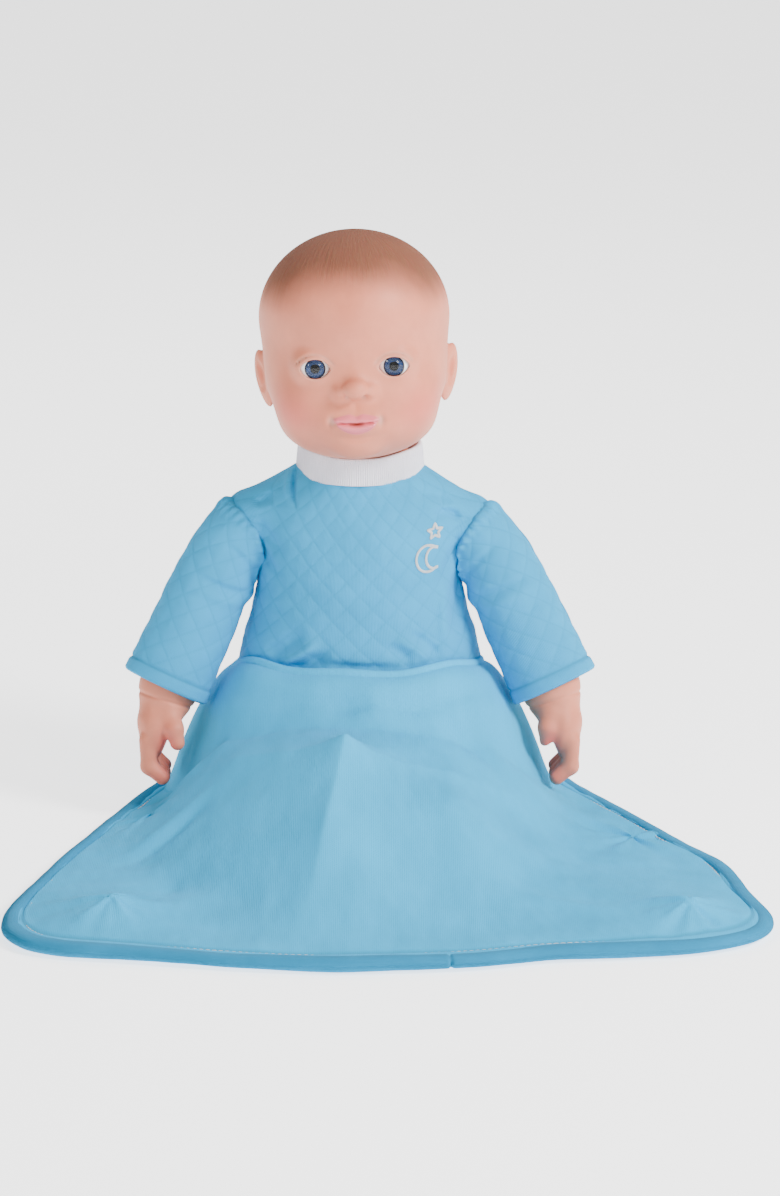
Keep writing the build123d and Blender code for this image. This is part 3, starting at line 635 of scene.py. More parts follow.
def make_eyes():
    """Inset eyes: white balls, painted irises with rays, and clear domes, on the frame's own pieces."""
    white = Nodes("eye_white")
    veins = white.noise(white.place(), 260.0, 5.0, 0.7)
    white.colour(white.ramp(veins, [(0.35, (0.86, 0.84, 0.83)), (0.7, (0.90, 0.90, 0.90))]))
    white.rough(white.math("ADD", white.math("MULTIPLY", veins, 0.05), 0.12))
    white.set(Coat_Weight=0.5)
    glass = Nodes("cornea")
    ripple = glass.noise(glass.place(), 90.0, 1.0)
    glass.colour((0.0, 0.0, 0.0))
    glass.rough(glass.math("MULTIPLY", ripple, 0.012))
    glass.set(Specular_IOR_Level=0.8, Alpha=0.28)
    for side in SIDES:
        low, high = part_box(f"{side}_iris")
        centre = (low + high) / 2
        iris = Nodes(f"{side}_iris_paint")
        shift = iris.add("ShaderNodeVectorMath", operation="SUBTRACT")
        iris.link(iris.place(), shift.inputs[0])
        shift.inputs[1].default_value = centre
        parts = iris.add("ShaderNodeSeparateXYZ")
        iris.link(shift.outputs[0], parts.inputs[0])
        dx, dz = parts.outputs[0], parts.outputs[2]
        squares = iris.math("ADD", iris.math("MULTIPLY", dx, dx), iris.math("MULTIPLY", dz, dz))
        radius = iris.math("SQRT", squares)
        share = iris.math("DIVIDE", radius, (high.x - low.x) / 2)
        turn = iris.math("ARCTAN2", dz, dx)
        combined = iris.add("ShaderNodeCombineXYZ")
        iris.link(iris.math("MULTIPLY", turn, 9.0), combined.inputs[0])
        iris.link(iris.math("MULTIPLY", share, 1.6), combined.inputs[1])
        rays = iris.noise(combined.outputs[0], 1.6, 3.0, 0.7)
        blue = iris.ramp(rays, [(0.32, (0.012, 0.042, 0.170)), (0.68, (0.120, 0.230, 0.56))])
        ring = iris.ramp(share, [(0.0, (0, 0, 0)), (0.44, (0, 0, 0)), (0.48, (1, 1, 1)), (0.82, (1, 1, 1)),
                                 (0.90, (0.10, 0.10, 0.14)), (1.0, (0.05, 0.05, 0.08))])
        iris.colour(iris.mix(1.0, blue, ring, "MULTIPLY"))
        iris.rough(iris.math("ADD", iris.math("MULTIPLY", rays, 0.15), 0.15))
        for node, made in ((f"{side}_eye", white), (f"{side}_iris", iris), (f"{side}_cornea", glass)):
            piece = frame["nodes"][node]
            piece.data.materials.clear()
            piece.data.materials.append(made.material)
            for polygon in piece.data.polygons:
                polygon.use_smooth = True


# ---------------------------------------------------------------- hands

def forearm_field(p, thumb):
    """A doll's left forearm and curled hand; thumb is where its tip points."""
    knuckle_y = (-38.5, -31.8, -25.4, -19.6)
    wrist = capsule(p, (97.0, -12.0, 96.0), (107.5, -22.5, 72.0), 14.0, 15.6)
    d = smooth_min(wrist, capsule(p, (107.5, -23, 72), (112.5, -28, 56), 15.2, 11.5), 6.0)
    d = smooth_min(d, ellipsoid(p, (114.0, -29.5, 50.0), (9.6, 14.5, 15.5)), 6.0)
    for number, y in enumerate(knuckle_y):
        reach = (0.0, -1.2, -0.6, 1.8)[number]
        first = capsule(p, (118.5, y, 46), (118.0, y - 1.5, 31.5 + reach), 5.0, 4.6)
        second = capsule(p, (118.0, y - 1.5, 31.5 + reach), (110.5, y - 3.0, 25.2 + reach), 4.6, 4.0)
        finger = smooth_min(first, second, 2.0)
        d = smooth_min(d, finger, 1.3 if number else 2.2)
    base = (106.5, -35.0, 60.0)
    middle = tuple((a + b) / 2 + c for a, b, c in zip(base, thumb, (-0.5, -2.0, 0.5)))
    stub = smooth_min(capsule(p, base, middle, 6.4, 5.2), capsule(p, middle, thumb, 5.2, 4.1), 2.0)
    d = smooth_min(d, stub, 3.5)
    palm = ellipsoid(p, (106.5, -31.5, 42.0), (5.6, 9.5, 10.5))
    d = smooth_max(d, -palm, 3.0)
    from_wrist = p - np.array([109.0, -24.0, 66.0], np.float32)
    crease = np.abs(from_wrist @ np.array([0.30, -0.22, -0.93], np.float32))
    return d + 0.7 * bell(crease, 1.0) * smoothstep(14.0, 8.0, np.abs(p[:, 2] - 66.0))


def make_hand(side, material):
    thumb = {"left": (104.8, -38.5, 46.0), "right": (101.8, -43.0, 46.0)}[side]
    step = 0.7 if FINE else 1.2
    points, faces = surface_net(lambda p: forearm_field(p, thumb), (78, -54, 17), (130, 8, 112), step)
    # warm: a red tint in the palm's hollow, partly the doll's crease paint and partly painted shade of the
    # hollow; tips: blush on the fingertips.
    warm = bell(points[:, 0] - 107.0, 5.5) * bell(points[:, 2] - 41.0, 11.0) * 0.9
    tips = bell(points[:, 2] - 25.0, 5.0) * 0.28
    if SIDES[side] < 0:
        points = points * np.array([-1.0, 1.0, 1.0])
        faces = faces[:, ::-1]
    hand = make_object(f"{side}_hand_skin", points, faces)
    add_mask(hand, "blush_and_palm_shade", np.clip(warm + tips, 0, 1))
    for name in ("lips", "mouth_gap_shade", "crease", "hair"):
        add_mask(hand, name, np.zeros(len(points)))
    finish_piece(hand, material, f"{side}_arm", f"{side}_forearm")


# ---------------------------------------------------------------- quilted cloth

QUILT = 14.6


def quilt(u, v, skew=0.0):
    """Pillows between stitched diagonal lines: height from 0 on a line to 1, and a mask of the lines."""
    a = np.abs(np.sin(np.pi * (u + v + skew) / QUILT))
    b = np.abs(np.sin(np.pi * (u - v) / QUILT))
    height = np.minimum(a, b) ** 0.55
    return height, bell(np.minimum(a, b), 0.13)


def fold(x, z, start, end, width, depth):
    """A soft crease along a line on the cloth, fading at both ends; depth below 0 makes a ridge."""
    along = (end[0] - start[0], end[1] - start[1])
    length = math.hypot(*along)
    ux, uz = along[0] / length, along[1] / length
    t = ((x - start[0]) * ux + (z - start[1]) * uz) / length
    away = (x - start[0]) * -uz + (z - start[1]) * ux + 2.0 * np.sin(t * 3.0)
    return depth * np.exp(-(away / width) ** 2) * smoothstep(-0.05, 0.3, t) * smoothstep(1.05, 0.6, t)


BODICE_Z = (60.0, 80.0, 105.0, 130.0, 150.0, 165.0, 176.0, 184.0, 191.0, 195.0, 198.0, 202.0)
BODICE_RX = (74.0, 70.0, 62.5, 57.8, 57.5, 57.0, 54.0, 47.0, 39.0, 33.5, 28.0, 18.0)
BODICE_RY = (57.0, 54.0, 50.0, 46.6, 44.5, 41.5, 38.6, 36.0, 34.5, 31.5, 26.0, 18.0)
BODICE_CY = (1.0, 0.0, 0.0, 0.0, 1.0, 2.0, 3.0, 3.5, 4.0, 4.0, 4.0, 4.0)


def bodice_flat(p):
    angle = np.arctan2(p[:, 0], -(p[:, 1] - 2.0))
    return angle * 50.0, p[:, 2]


def bodice_form(p):
    x, y, z = p[:, 0], p[:, 1], p[:, 2]
    rx, ry = np.interp(z, BODICE_Z, BODICE_RX), np.interp(z, BODICE_Z, BODICE_RY)
    cy = np.interp(z, BODICE_Z, BODICE_CY)
    q = np.hypot(x / rx, (y - cy) / ry) + 1e-6
    slope = np.hypot(x / rx ** 2, (y - cy) / ry ** 2) + 1e-6
    d = q * (q - 1) / slope
    for side, drop in ((1.0, 3.0), (-1.0, 0.0)):
        shoulder = capsule(p, (side * 26, 3, 181 - drop), (side * 60, 1, 165.5 - drop), 14.0, 16.5)
        d = smooth_min(d, shoulder, 12.0)
    front = smoothstep(10.0, -15.0, y)
    creases = (
        ((-34.0, 199.0), (-35.0, 176.0), 1.3, 1.8), ((-37.5, 199.0), (-39.0, 178.0), 1.6, -0.9),
        ((-57.0, 170.0), (-40.0, 150.0), 3.2, 0.8), ((-58.0, 158.0), (-44.0, 138.0), 3.0, 1.3),
        ((-60.0, 176.0), (-47.0, 184.0), 2.2, 1.2), ((57.0, 168.0), (40.0, 172.0), 2.6, 1.3),
        ((58.0, 158.0), (46.0, 132.0), 3.2, 0.8), ((55.0, 140.0), (56.0, 104.0), 3.6, 1.8),
        ((49.0, 134.0), (50.0, 96.0), 3.6, -1.4), ((52.0, 176.0), (30.0, 184.0), 2.4, 0.9),
        ((-52.0, 94.0), (-30.0, 112.0), 4.0, 2.0), ((-40.0, 88.0), (-14.0, 103.0), 3.6, 1.6),
        ((-46.0, 92.0), (-22.0, 108.0), 3.0, -1.6), ((46.0, 92.0), (24.0, 110.0), 3.4, 1.5),
        ((30.0, 92.0), (12.0, 104.0), 3.2, 1.2), ((40.0, 94.0), (20.0, 108.0), 3.0, -1.2),
        ((-30.0, 96.0), (30.0, 93.0), 2.6, 1.0),
    )
    for start, end, width, depth in creases:
        d = d + 1.8 * fold(x, z, start, end, width, depth) * front
    u, v = bodice_flat(p)
    d = d - 1.2 * bell(z - 100.0, 9.0) + 0.5 * wobble(u, v, 3, 46.0)
    return d


def bodice_field(p):
    u, v = bodice_flat(p)
    height, _ = quilt(u, v)
    return bodice_form(p) - 0.55 * (height - 0.6) * smoothstep(198.0, 192.0, p[:, 2])


def make_bodice(material):
    step = 1.0 if FINE else 1.8
    points, faces = surface_net(bodice_field, (-84, -66, 62), (84, 66, 206), step)
    centre = points[faces].mean(1)
    inside = (np.hypot(centre[:, 0], centre[:, 1] - 4.0) < 33.0) & (centre[:, 2] > 188)
    keep = ~inside & (centre[:, 2] > 66.0) & (centre[:, 2] < 200.0)
    faces = faces[keep]
    used, faces = np.unique(faces, return_inverse=True)
    faces = faces.reshape(-1, 4)
    points = points[used]
    bodice = make_object("quilted_bodice", points, faces)
    u, v = bodice_flat(points)
    _, lines = quilt(u, v)
    add_place(bodice, "flat", np.stack([u, v, u * 0], -1))
    # The quilting lines are darkened a little as painted shade in their grooves.
    add_mask(bodice, "stitch_groove_shade", lines * 0.35)
    bodice.data.materials.append(material)
    thicken(bodice, 1.6)
    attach(bodice, "torso")
    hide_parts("bodice")


def bezier(points, t):
    p0, p1, p2, p3 = (np.array(p, float) for p in points)
    t = t[:, None]
    place = (1 - t) ** 3 * p0 + 3 * (1 - t) ** 2 * t * p1 + 3 * (1 - t) * t * t * p2 + t ** 3 * p3
    way = 3 * (1 - t) ** 2 * (p1 - p0) + 6 * (1 - t) * t * (p2 - p1) + 3 * t * t * (p3 - p2)
    return place, way / np.linalg.norm(way, axis=1)[:, None]


def make_sleeve(side, material):
    """A short set-in sleeve: out along the arm, round the hem and back up inside."""
    sign = SIDES[side]
    rows = 170 if FINE else 70
    columns = 200 if FINE else 90
    drop = {"left": 3.0, "right": 0.0}[side]
    path = ((50, 2, 166 - drop), (72, 0, 163 - drop), (81, -8, 132), (109, -22, 74))
    t = np.linspace(0, 1, rows)
    centre, way = bezier(path, t)
    length = np.concatenate([[0], np.cumsum(np.linalg.norm(np.diff(centre, axis=0), axis=1))])
    total = length[-1]
    front = np.tile([0.0, -1.0, 0.0], (rows, 1))
    front -= (front * way).sum(1)[:, None] * way
    front /= np.linalg.norm(front, axis=1)[:, None]
    outer = np.cross(front, way)
    angle = np.linspace(0, 2 * np.pi, columns, endpoint=False)
    radius = np.interp(t, (0, 0.2, 0.5, 0.85, 1.0), (15.5, 20.0, 21.8, 23.6, 24.6))
    depth = np.interp(t, (0, 0.3, 1.0), (0.86, 0.95, 0.86))
    u = angle[None, :] * 22.0
    v = np.broadcast_to(length[:, None], (rows, columns))
    u = np.broadcast_to(u, v.shape)
    around = np.broadcast_to(angle[None, :], v.shape)
    height, lines = quilt(u * (QUILT * 9 / (2 * np.pi * 22.0)), v, skew=3.0)
    hem_stitch = bell(v - (total - 7.0), 0.9)
    plain = smoothstep(total - 7.5, total - 9.0, v)
    lift = 0.55 * (height - 0.6) * plain + 0.5 * wobble(u, v, 11 if sign > 0 else 17, 40.0)
    lift = lift - 0.7 * hem_stitch + 0.5 * smoothstep(total - 7.0, total - 5.0, v)
    armpit = bell(np.abs(np.angle(np.exp(1j * (around - np.pi)))), 0.9)
    facing = bell(np.abs(np.angle(np.exp(1j * (around - np.pi * 0.62)))), 0.85)
    lift = lift + armpit * (1.6 * np.sin(v / 3.4) * smoothstep(22.0, 30.0, v) * smoothstep(66.0, 48.0, v))
    lift = lift - facing * 1.8 * bell(v - 44.0 - 8.0 * np.sin(around), 2.6)
    lift = lift + facing * 1.3 * bell(v - 51.0 - 8.0 * np.sin(around), 3.4)
    lift = lift - facing * 1.2 * bell(v - 30.0 + 5.0 * np.cos(around), 2.4)
    lift = lift + 0.6 * np.sin(around * 3 + 0.6) * smoothstep(total - 40, total, v)
    reach = radius[:, None] + lift
    ring = reach[..., None] * (np.cos(around)[..., None] * outer[:, None]
                               + np.sin(around)[..., None] * front[:, None] * depth[:, None, None])
    shape = centre[:, None] + ring
    at_seam = bodice_form((shape * np.array([sign, 1.0, 1.0])).reshape(-1, 3)).reshape(rows, columns) > 0
    seam = np.take_along_axis(v, np.argmax(at_seam, axis=0)[None], 0)
    groove = bell(v - seam - 0.6, 1.1)
    puffed = 1.3 * bell(v - seam - 4.0, 2.6)
    puckers = 0.55 * np.sin(around * 26) * bell(v - seam - 4.0, 3.2)
    shape = shape + ring / reach[..., None] * (puffed - 1.7 * groove + puckers)[..., None]
    edge = centre[-1] + way[-1] * 1.1
    lip = edge + ring[-1] * (1 - 1.0 / reach[-1])[:, None]
    inner_rows = []
    for back in (1.5, 6.0, 14.0, 24.0, 34.0):
        row = int(np.argmin(np.abs(length - (total - back))))
        inner_rows.append(centre[row] + ring[row] * (1 - 2.4 / reach[row])[:, None])
    shape = np.concatenate([shape, lip[None], np.array(inner_rows)])
    extra = len(shape) - rows
    u = np.concatenate([u, np.repeat(u[-1:], extra, 0)])
    v = np.concatenate([v, total + np.arange(1, extra + 1)[:, None] * np.ones((1, columns))])
    # The quilting lines, the hem stitching and the armhole groove are darkened as painted shade in these
    # sunken lines.
    sewn_groove_shade = np.clip(lines * 0.35 * plain + hem_stitch * 0.8 + groove, 0, 1)
    stitch_groove_shade = np.concatenate([sewn_groove_shade, np.zeros((extra, columns))])
    points = shape.reshape(-1, 3)
    faces = grid_faces(len(shape), columns, closed=True)
    if sign < 0:
        points = points * np.array([-1.0, 1.0, 1.0])
    else:
        faces = faces[:, ::-1]
    sleeve = make_object(f"{side}_quilted_sleeve", points, faces)
    add_place(sleeve, "flat", np.stack([u, v, u * 0], -1).reshape(-1, 3))
    add_mask(sleeve, "stitch_groove_shade", stitch_groove_shade)
    sleeve.data.materials.append(material)
    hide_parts(f"{side}_sleeve")
    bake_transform(sleeve)


# ---------------------------------------------------------------- sleeping bag

# The hem on the floor and the direction from the waist that leads to it, anticlockwise from the front.
HEM = (
    (15, -287, -90), (60, -282, -80), (102, -271, -69), (143, -266, -58), (178, -260, -49), (204, -245, -42),
    (213, -221, -36), (205, -180, -29), (198, -139, -21), (181, -105, -13), (156, -55, -5), (136, -17, 2),
    (114, 25, 20), (94, 50, 42), (56, 63, 64), (0, 67, 90), (-56, 63, 116), (-94, 48, 140), (-110, 20, 163),
    (-123, -7, 177), (-141, -60, 185), (-160, -122, 194), (-176, -185, 205), (-181, -222, 215),
    (-175, -247, 223), (-156, -262, 231), (-112, -272, 243), (-55, -284, 256), (-18, -288, 264),
)
HEM_INSET = 4.5
WAIST_RX, WAIST_FRONT, WAIST_BACK = 70.5, -61.5, 55.0
# Estimated places that the cloth passes through over the legs, and the lines of its folds
# from the peak between the knees.
PEAKS = (
    (0, -80, 68), (-42, -80, 64), (42, -80, 63), (-76, -70, 54), (74, -70, 51),
    (-52, -150, 47), (-54, -178, 35), (-88, -120, 31), (-112, -70, 14), (-62, -212, 15),
    (-66, -245, 7), (-110, -150, 12), (-98, -190, 9), (-140, -130, 7), (-126, -222, 19), (-100, -244, 8),
    (-150, -192, 9), (54, -150, 47), (58, -178, 36), (44, -214, 20), (30, -250, 11), (88, -140, 25),
    (92, -190, 15), (84, -246, 7), (118, -140, 11), (148, -150, 8), (128, -215, 10), (170, -226, 19),
    (146, -250, 8), (188, -186, 8), (130, -40, 5), (-118, -35, 5),
)
RIDGES = (
    ((-7, -135, 65), (-14, -175, 48), (-21, -215, 29), (-29, -262, 8)),
    ((-7, -135, 66), (-37, -122, 61), (-66, -102, 54), (-92, -72, 40)),
    ((-7, -135, 66), (20, -130, 58), (50, -120, 50), (78, -108, 37), (104, -95, 21), (126, -88, 10)),
)
# How far each fold stands above the cloth beside it, and how wide it is.
CRESTS = ((9.0, 16.0), (3.5, 14.0), (3.0, 14.0))
RIDGE_STEP = 7.0
# Where the cloth bunches, how far that reaches, and which wave it takes.
PUCKERS = ((-126, -222, 34.0, 1), (171, -228, 34.0, 2), (150, -95, 40.0, 4), (-115, -75, 26.0, 6))
BOTTOM_MIDDLE = (12.0, -110.0)
BOTTOM_ROWS = 40


def along_ridges():
    """Points every few millimetres along the fold lines."""
    places = []
    for line in RIDGES:
        for start, end in zip(line[:-1], line[1:]):
            start, end = np.array(start, float), np.array(end, float)
            count = max(1, int(np.linalg.norm(end - start) / RIDGE_STEP))
            places += [start + (end - start) * k / count for k in range(1, count + 1)]
    return np.array([RIDGES[0][0]] + places, float)


def crest(x, y, line, height, width):
    """A sharp fold along a line, standing above the cloth beside it."""
    nearest = np.full(x.shape, 1e6)
    for start, end in zip(line[:-1], line[1:]):
        dx, dy = end[0] - start[0], end[1] - start[1]
        along = np.clip(((x - start[0]) * dx + (y - start[1]) * dy) / (dx * dx + dy * dy), 0.0, 1.0)
        nearest = np.minimum(nearest, np.hypot(x - start[0] - along * dx, y - start[1] - along * dy))
    length = np.hypot(line[-1][0] - line[0][0], line[-1][1] - line[0][1])
    fade = smoothstep(1.0, 0.35, np.hypot(x - line[0][0], y - line[0][1]) / length)
    return height * fade * np.exp(-np.hypot(nearest, 1.2) / width)


def hem_line(count):
    """Evenly spaced points round the hem with the waist's matching directions, by a closed spline."""
    control = np.array(HEM, float)
    before = np.concatenate([control[-1:] - [[0, 0, 360]], control[:-1]])
    after = np.concatenate([control[1:], control[:1] + [[0, 0, 360]]])
    beyond = np.concatenate([control[2:], control[:2] + [[0, 0, 360]]])
    per = count // len(control) + 1
    t = np.linspace(0, 1, per, endpoint=False)[:, None, None]
    bend = 2 * before - 5 * control + 4 * after - beyond
    twist = 3 * control - before - 3 * after + beyond
    curve = 0.5 * (2 * control + (after - before) * t + bend * t ** 2 + twist * t ** 3)
    curve = curve.transpose(1, 0, 2).reshape(-1, 3)
    middle = np.array([15.0, -110.0])
    reach = np.linalg.norm(curve[:, :2] - middle, axis=1)[:, None]
    curve[:, :2] -= (curve[:, :2] - middle) / reach * HEM_INSET * smoothstep(40.0, 0.0, curve[:, 1])[:, None]
    steps = np.linalg.norm(np.diff(curve[:, :2], axis=0, append=curve[:1, :2]), axis=1)
    length = np.concatenate([[0], np.cumsum(steps)])
    curve = np.concatenate([curve, curve[:1] + [[0, 0, 360]]])
    at = np.linspace(0, length[-1], count, endpoint=False)
    return np.stack([np.interp(at, length, curve[:, i]) for i in range(3)], -1)


def tent_height(x, y, hem):
    """The cloth's height over the legs: a smooth surface through PEAKS, and low along the hem."""
    edge = hem[:: max(1, len(hem) // 60)]
    edge = np.stack([edge[:, 0], edge[:, 1], edge[:, 0] * 0 + 4.5], -1)
    known = np.concatenate([np.array(PEAKS, float), along_ridges(), edge])
    soft = 2.5
    batch = 20000

    def kernel(ax, ay, bx, by):
        return np.sqrt((ax[:, None] - bx[None]) ** 2 + (ay[:, None] - by[None]) ** 2 + soft ** 2)

    table = kernel(known[:, 0], known[:, 1], known[:, 0], known[:, 1])
    table += np.eye(len(known)) * -1.0
    weights = np.linalg.solve(table, known[:, 2])
    flat_x, flat_y = x.ravel(), y.ravel()
    heights = []
    for i in range(0, x.size, batch):
        part = slice(i, i + batch)
        heights.append(kernel(flat_x[part], flat_y[part], known[:, 0], known[:, 1]) @ weights)
    return np.concatenate(heights).reshape(x.shape)


def sack_surface(rows, columns):
    """Rows of points from inside the waist, over its soft roll and down to the hem."""
    hem = hem_line(columns)
    angle = np.radians(hem[:, 2])
    front = smoothstep(0.35, -0.75, np.sin(angle))
    waist_y = np.where(np.sin(angle) < 0, -WAIST_FRONT * np.sin(angle), WAIST_BACK * np.sin(angle))
    waist = np.stack([WAIST_RX * np.cos(angle), waist_y], -1)
    waist_z = 78.0 + 11.5 * front + 3.0 * smoothstep(0.2, 0.9, np.sin(angle))
    waist_z = waist_z + 0.9 * np.sin(angle * 7 + 1.0)
    t = np.linspace(0, 1, rows) ** 1.25
    reach = np.linalg.norm(hem[:, :2] - waist, axis=1)
    x = waist[:, 0] + (hem[:, 0] - waist[:, 0]) * t[:, None]
    y = waist[:, 1] + (hem[:, 1] - waist[:, 1]) * t[:, None]
    out = t[:, None] * reach
    width = np.minimum(reach * 0.93, 41.0 + 8.0 * front)
    share = np.clip(out / width, 0, 1)
    dome = waist_z * np.clip(1 - share ** 1.6, 0, 1) ** 0.85
    tent = tent_height(x, y, hem)
    for line, (height, width) in zip(RIDGES, CRESTS):
        tent = tent + crest(x, y, line, height, width)
    tent = tent * smoothstep(40.0, 10.0, y)
    z = smooth_max(dome, tent, 16.0)
    z = np.where(t[:, None] < 0.02, dome, z)
    u, v = x, -y + z * 0.6
    ripple = 0.9 * wobble(x, y, 21, 55.0, 3) + 0.45 * wobble(x, y * 0.6, 33, 16.0, 2)
    for cx, cy, size, seed in PUCKERS:
        near = bell(np.hypot(x - cx, y - cy), size)
        way = np.arctan2(y - cy, x - cx)
        ripple = ripple + near * (0.9 * np.sin(way * 5 + seed) + 0.5 * np.sin(way * 9 + seed * 2 + 0.08 * x))
    ripple = ripple + 1.5 * bell(out - 15.0, 10.0) * front * np.sin(x / 8.0 + np.sin(x / 15.0))
    ripple = ripple - 2.6 * bell(out - 14.0, 4.5) * front
    ripple = ripple - 2.2 * fold(x, y, (78.0, -88.0), (36.0, -72.0), 6.0, 1.0)
    ripple = ripple - 2.6 * fold(x, y, (-80.0, -118.0), (-128.0, -150.0), 6.0, 1.0)
    ripple = ripple + 2.0 * fold(x, y, (-74.0, -108.0), (-128.0, -136.0), 6.0, 1.0)
    ripple = ripple + 1.8 * fold(x, y, (84.0, -206.0), (150.0, -226.0), 7.0, 1.0)
    tail = smoothstep(1.0, 0.94, t)[:, None] * smoothstep(0.0, 0.05, t)[:, None]
    z = z + ripple * tail * smoothstep(60.0, 20.0, y)
    z = np.maximum(z, 3.0 + 1.2 * tail)
    # A groove 7.5 mm in from the hem, sunk and also darkened in colour as painted shade.
    seam = bell((1 - t[:, None]) * reach - 7.5, 1.2)
    z = z - 0.9 * seam
    shape = np.stack([x, y, z], -1)
    roll = []
    for turn in np.linspace(-1.1, 0.0, 9)[:-1]:
        inward = 4.5 * (1 - math.cos(-turn * math.pi)) * 0.5 + 1.5 * max(0.0, -turn - 0.5)
        up = 3.4 * math.sin(-turn * math.pi)
        normal = waist / np.linalg.norm(waist, axis=1)[:, None]
        place = waist - normal * inward
        height = waist_z + up - 9.0 * max(0.0, -turn - 0.55)
        roll.append(np.stack([place[:, 0], place[:, 1], height], -1))
    shape = np.concatenate([np.array(roll), shape])
    u = np.concatenate([np.repeat(u[:1], len(roll), 0), u])
    v = np.concatenate([np.repeat(v[:1], len(roll), 0), v])
    seam = np.concatenate([np.zeros((len(roll), columns)), seam])
    return shape, u, v, seam, hem


def part_of_grid(shape, keep, attributes):
    """A run of a closed grid's columns, as points, faces and their attribute values."""
    start = int(np.argmax(keep & ~np.roll(keep, 1)))
    order = (start + np.arange(keep.sum() + 1)) % len(keep)
    chosen = shape[:, order]
    return (chosen.reshape(-1, 3), grid_faces(chosen.shape[0], chosen.shape[1]),
            [values[:, order].ravel() for values in attributes])


def make_sack(material):
    rows, columns = (230, 900) if FINE else (90, 320)
    shape, u, v, seam, hem = sack_surface(rows, columns)
    to_front = hem[:, 1] < 8.0
    panels = {"sack_front": to_front, "sack_back": ~to_front}
    for name, keep in panels.items():
        points, faces, (fu, fv, seam_groove_shade) = part_of_grid(shape, keep, (u, v, seam))
        if name == "sack_back":
            middle = np.array(BOTTOM_MIDDLE)
            shares = np.linspace(1.0, 0.01, BOTTOM_ROWS)
            flat_xy = middle + (hem[None, :, :2] - middle) * shares[:, None, None]
            lift = 0.7 + 0.35 * (1 + wobble(flat_xy[..., 0], flat_xy[..., 1], 9, 60.0))
            bottom = np.concatenate([flat_xy, lift[..., None]], -1)
            more = grid_faces(BOTTOM_ROWS, columns, closed=True)[:, ::-1] + len(points)
            faces = np.concatenate([faces, more])
            points = np.concatenate([points, bottom.reshape(-1, 3)])
            fu = np.concatenate([fu, bottom[..., 0].ravel()])
            fv = np.concatenate([fv, bottom[..., 1].ravel()])
            seam_groove_shade = np.concatenate([seam_groove_shade, np.zeros(bottom.shape[0] * columns)])
        cloth = make_object(name, points, faces)
        add_place(cloth, "flat", np.stack([fu, fv, fu * 0], -1))
        # The seam line near the hem is darkened as painted shade in its groove.
        add_mask(cloth, "stitch_groove_shade", seam_groove_shade)
        finish_piece(cloth, material, "torso", f"{name}_panel")


def make_binding(material, thread):
    """Ribbed tape folded over the hem, with a line of stitches inside it and a join near the front."""
    hem = hem_line(2400 if FINE else 700)
    keep = hem[:, 1] < 20.0
    start = int(np.argmax(keep & ~np.roll(keep, 1)))
    order = (start + np.arange(keep.sum())) % len(hem)
    line = hem[order, :2]
    along = np.gradient(line, axis=0)
    along /= np.linalg.norm(along, axis=1)[:, None]
    outward = np.stack([along[:, 1], -along[:, 0]], -1)
    travel = np.concatenate([[0], np.cumsum(np.linalg.norm(np.diff(line, axis=0), axis=1))])
    wide = 4.3 + 1.3 * smoothstep(-150, -260, line[:, 1]) + 0.4 * np.sin(travel / 37.0)
    high = 3.3 + 0.35 * np.sin(travel / 23.0 + 1.0)
    count = 44 if FINE else 24
    angle = np.linspace(0, 2 * np.pi, count, endpoint=False)
    rib = 0.28 * np.cos(angle * 22)
    join = bell(travel - np.interp(47.0, line[:, 0][line[:, 1] < -255], travel[line[:, 1] < -255]), 0.9)
    radial = 1 + (rib[None, :] - 0.9 * join[:, None]) / 4.0
    across = (wide[:, None] * np.cos(angle) * radial)
    up = (high[:, None] * np.sin(angle) * radial)
    droop = 0.3 * wobble(travel, travel * 0, 8, 60.0)
    middle = line + outward * (0.4 + 0.5 * wobble(travel, travel * 0, 12, 45.0))[:, None]
    xy = middle[:, None] + outward[:, None] * across[..., None]
    z = np.maximum(4.4 + droop[:, None] + up, 0.3)
    points = np.concatenate([xy, z[..., None]], -1)
    fade = np.clip(np.minimum(travel, travel[-1] - travel) / 5.0, 0.05, 1.0)
    core = np.concatenate([middle, np.full((len(line), 1), 4.4)], -1)
    points = core[:, None] + (points - core[:, None]) * fade[:, None, None]
    tape = make_object("sack_tape", points.reshape(-1, 3), grid_faces(len(line), count, closed=True)[:, ::-1])
    u = np.broadcast_to(angle[None, :] * 4.0, points.shape[:2])
    v = np.broadcast_to(travel[:, None], points.shape[:2])
    add_place(tape, "flat", np.stack([v, u, u * 0], -1).reshape(-1, 3))
    finish_piece(tape, material, "torso", "sack_binding")
    stitches = []
    gap = 3.4
    for number in range(int((travel[-1] - 20) / gap)):
        at = 10 + number * gap
        ends = []
        for place in (at, at + 2.3):
            i = np.interp(place, travel, np.arange(len(line)))
            low, share = int(i), i - int(i)
            spot = line[low] * (1 - share) + line[low + 1] * share
            way = outward[low]
            spot = spot - way * (np.interp(place, travel, wide) + 0.6)
            ends.append((spot[0], spot[1], 6.4))
        stitches.append(ends)
    rods(stitches, "hem_stitches", 0.42, thread, "torso")


ROD_SIDES = 8


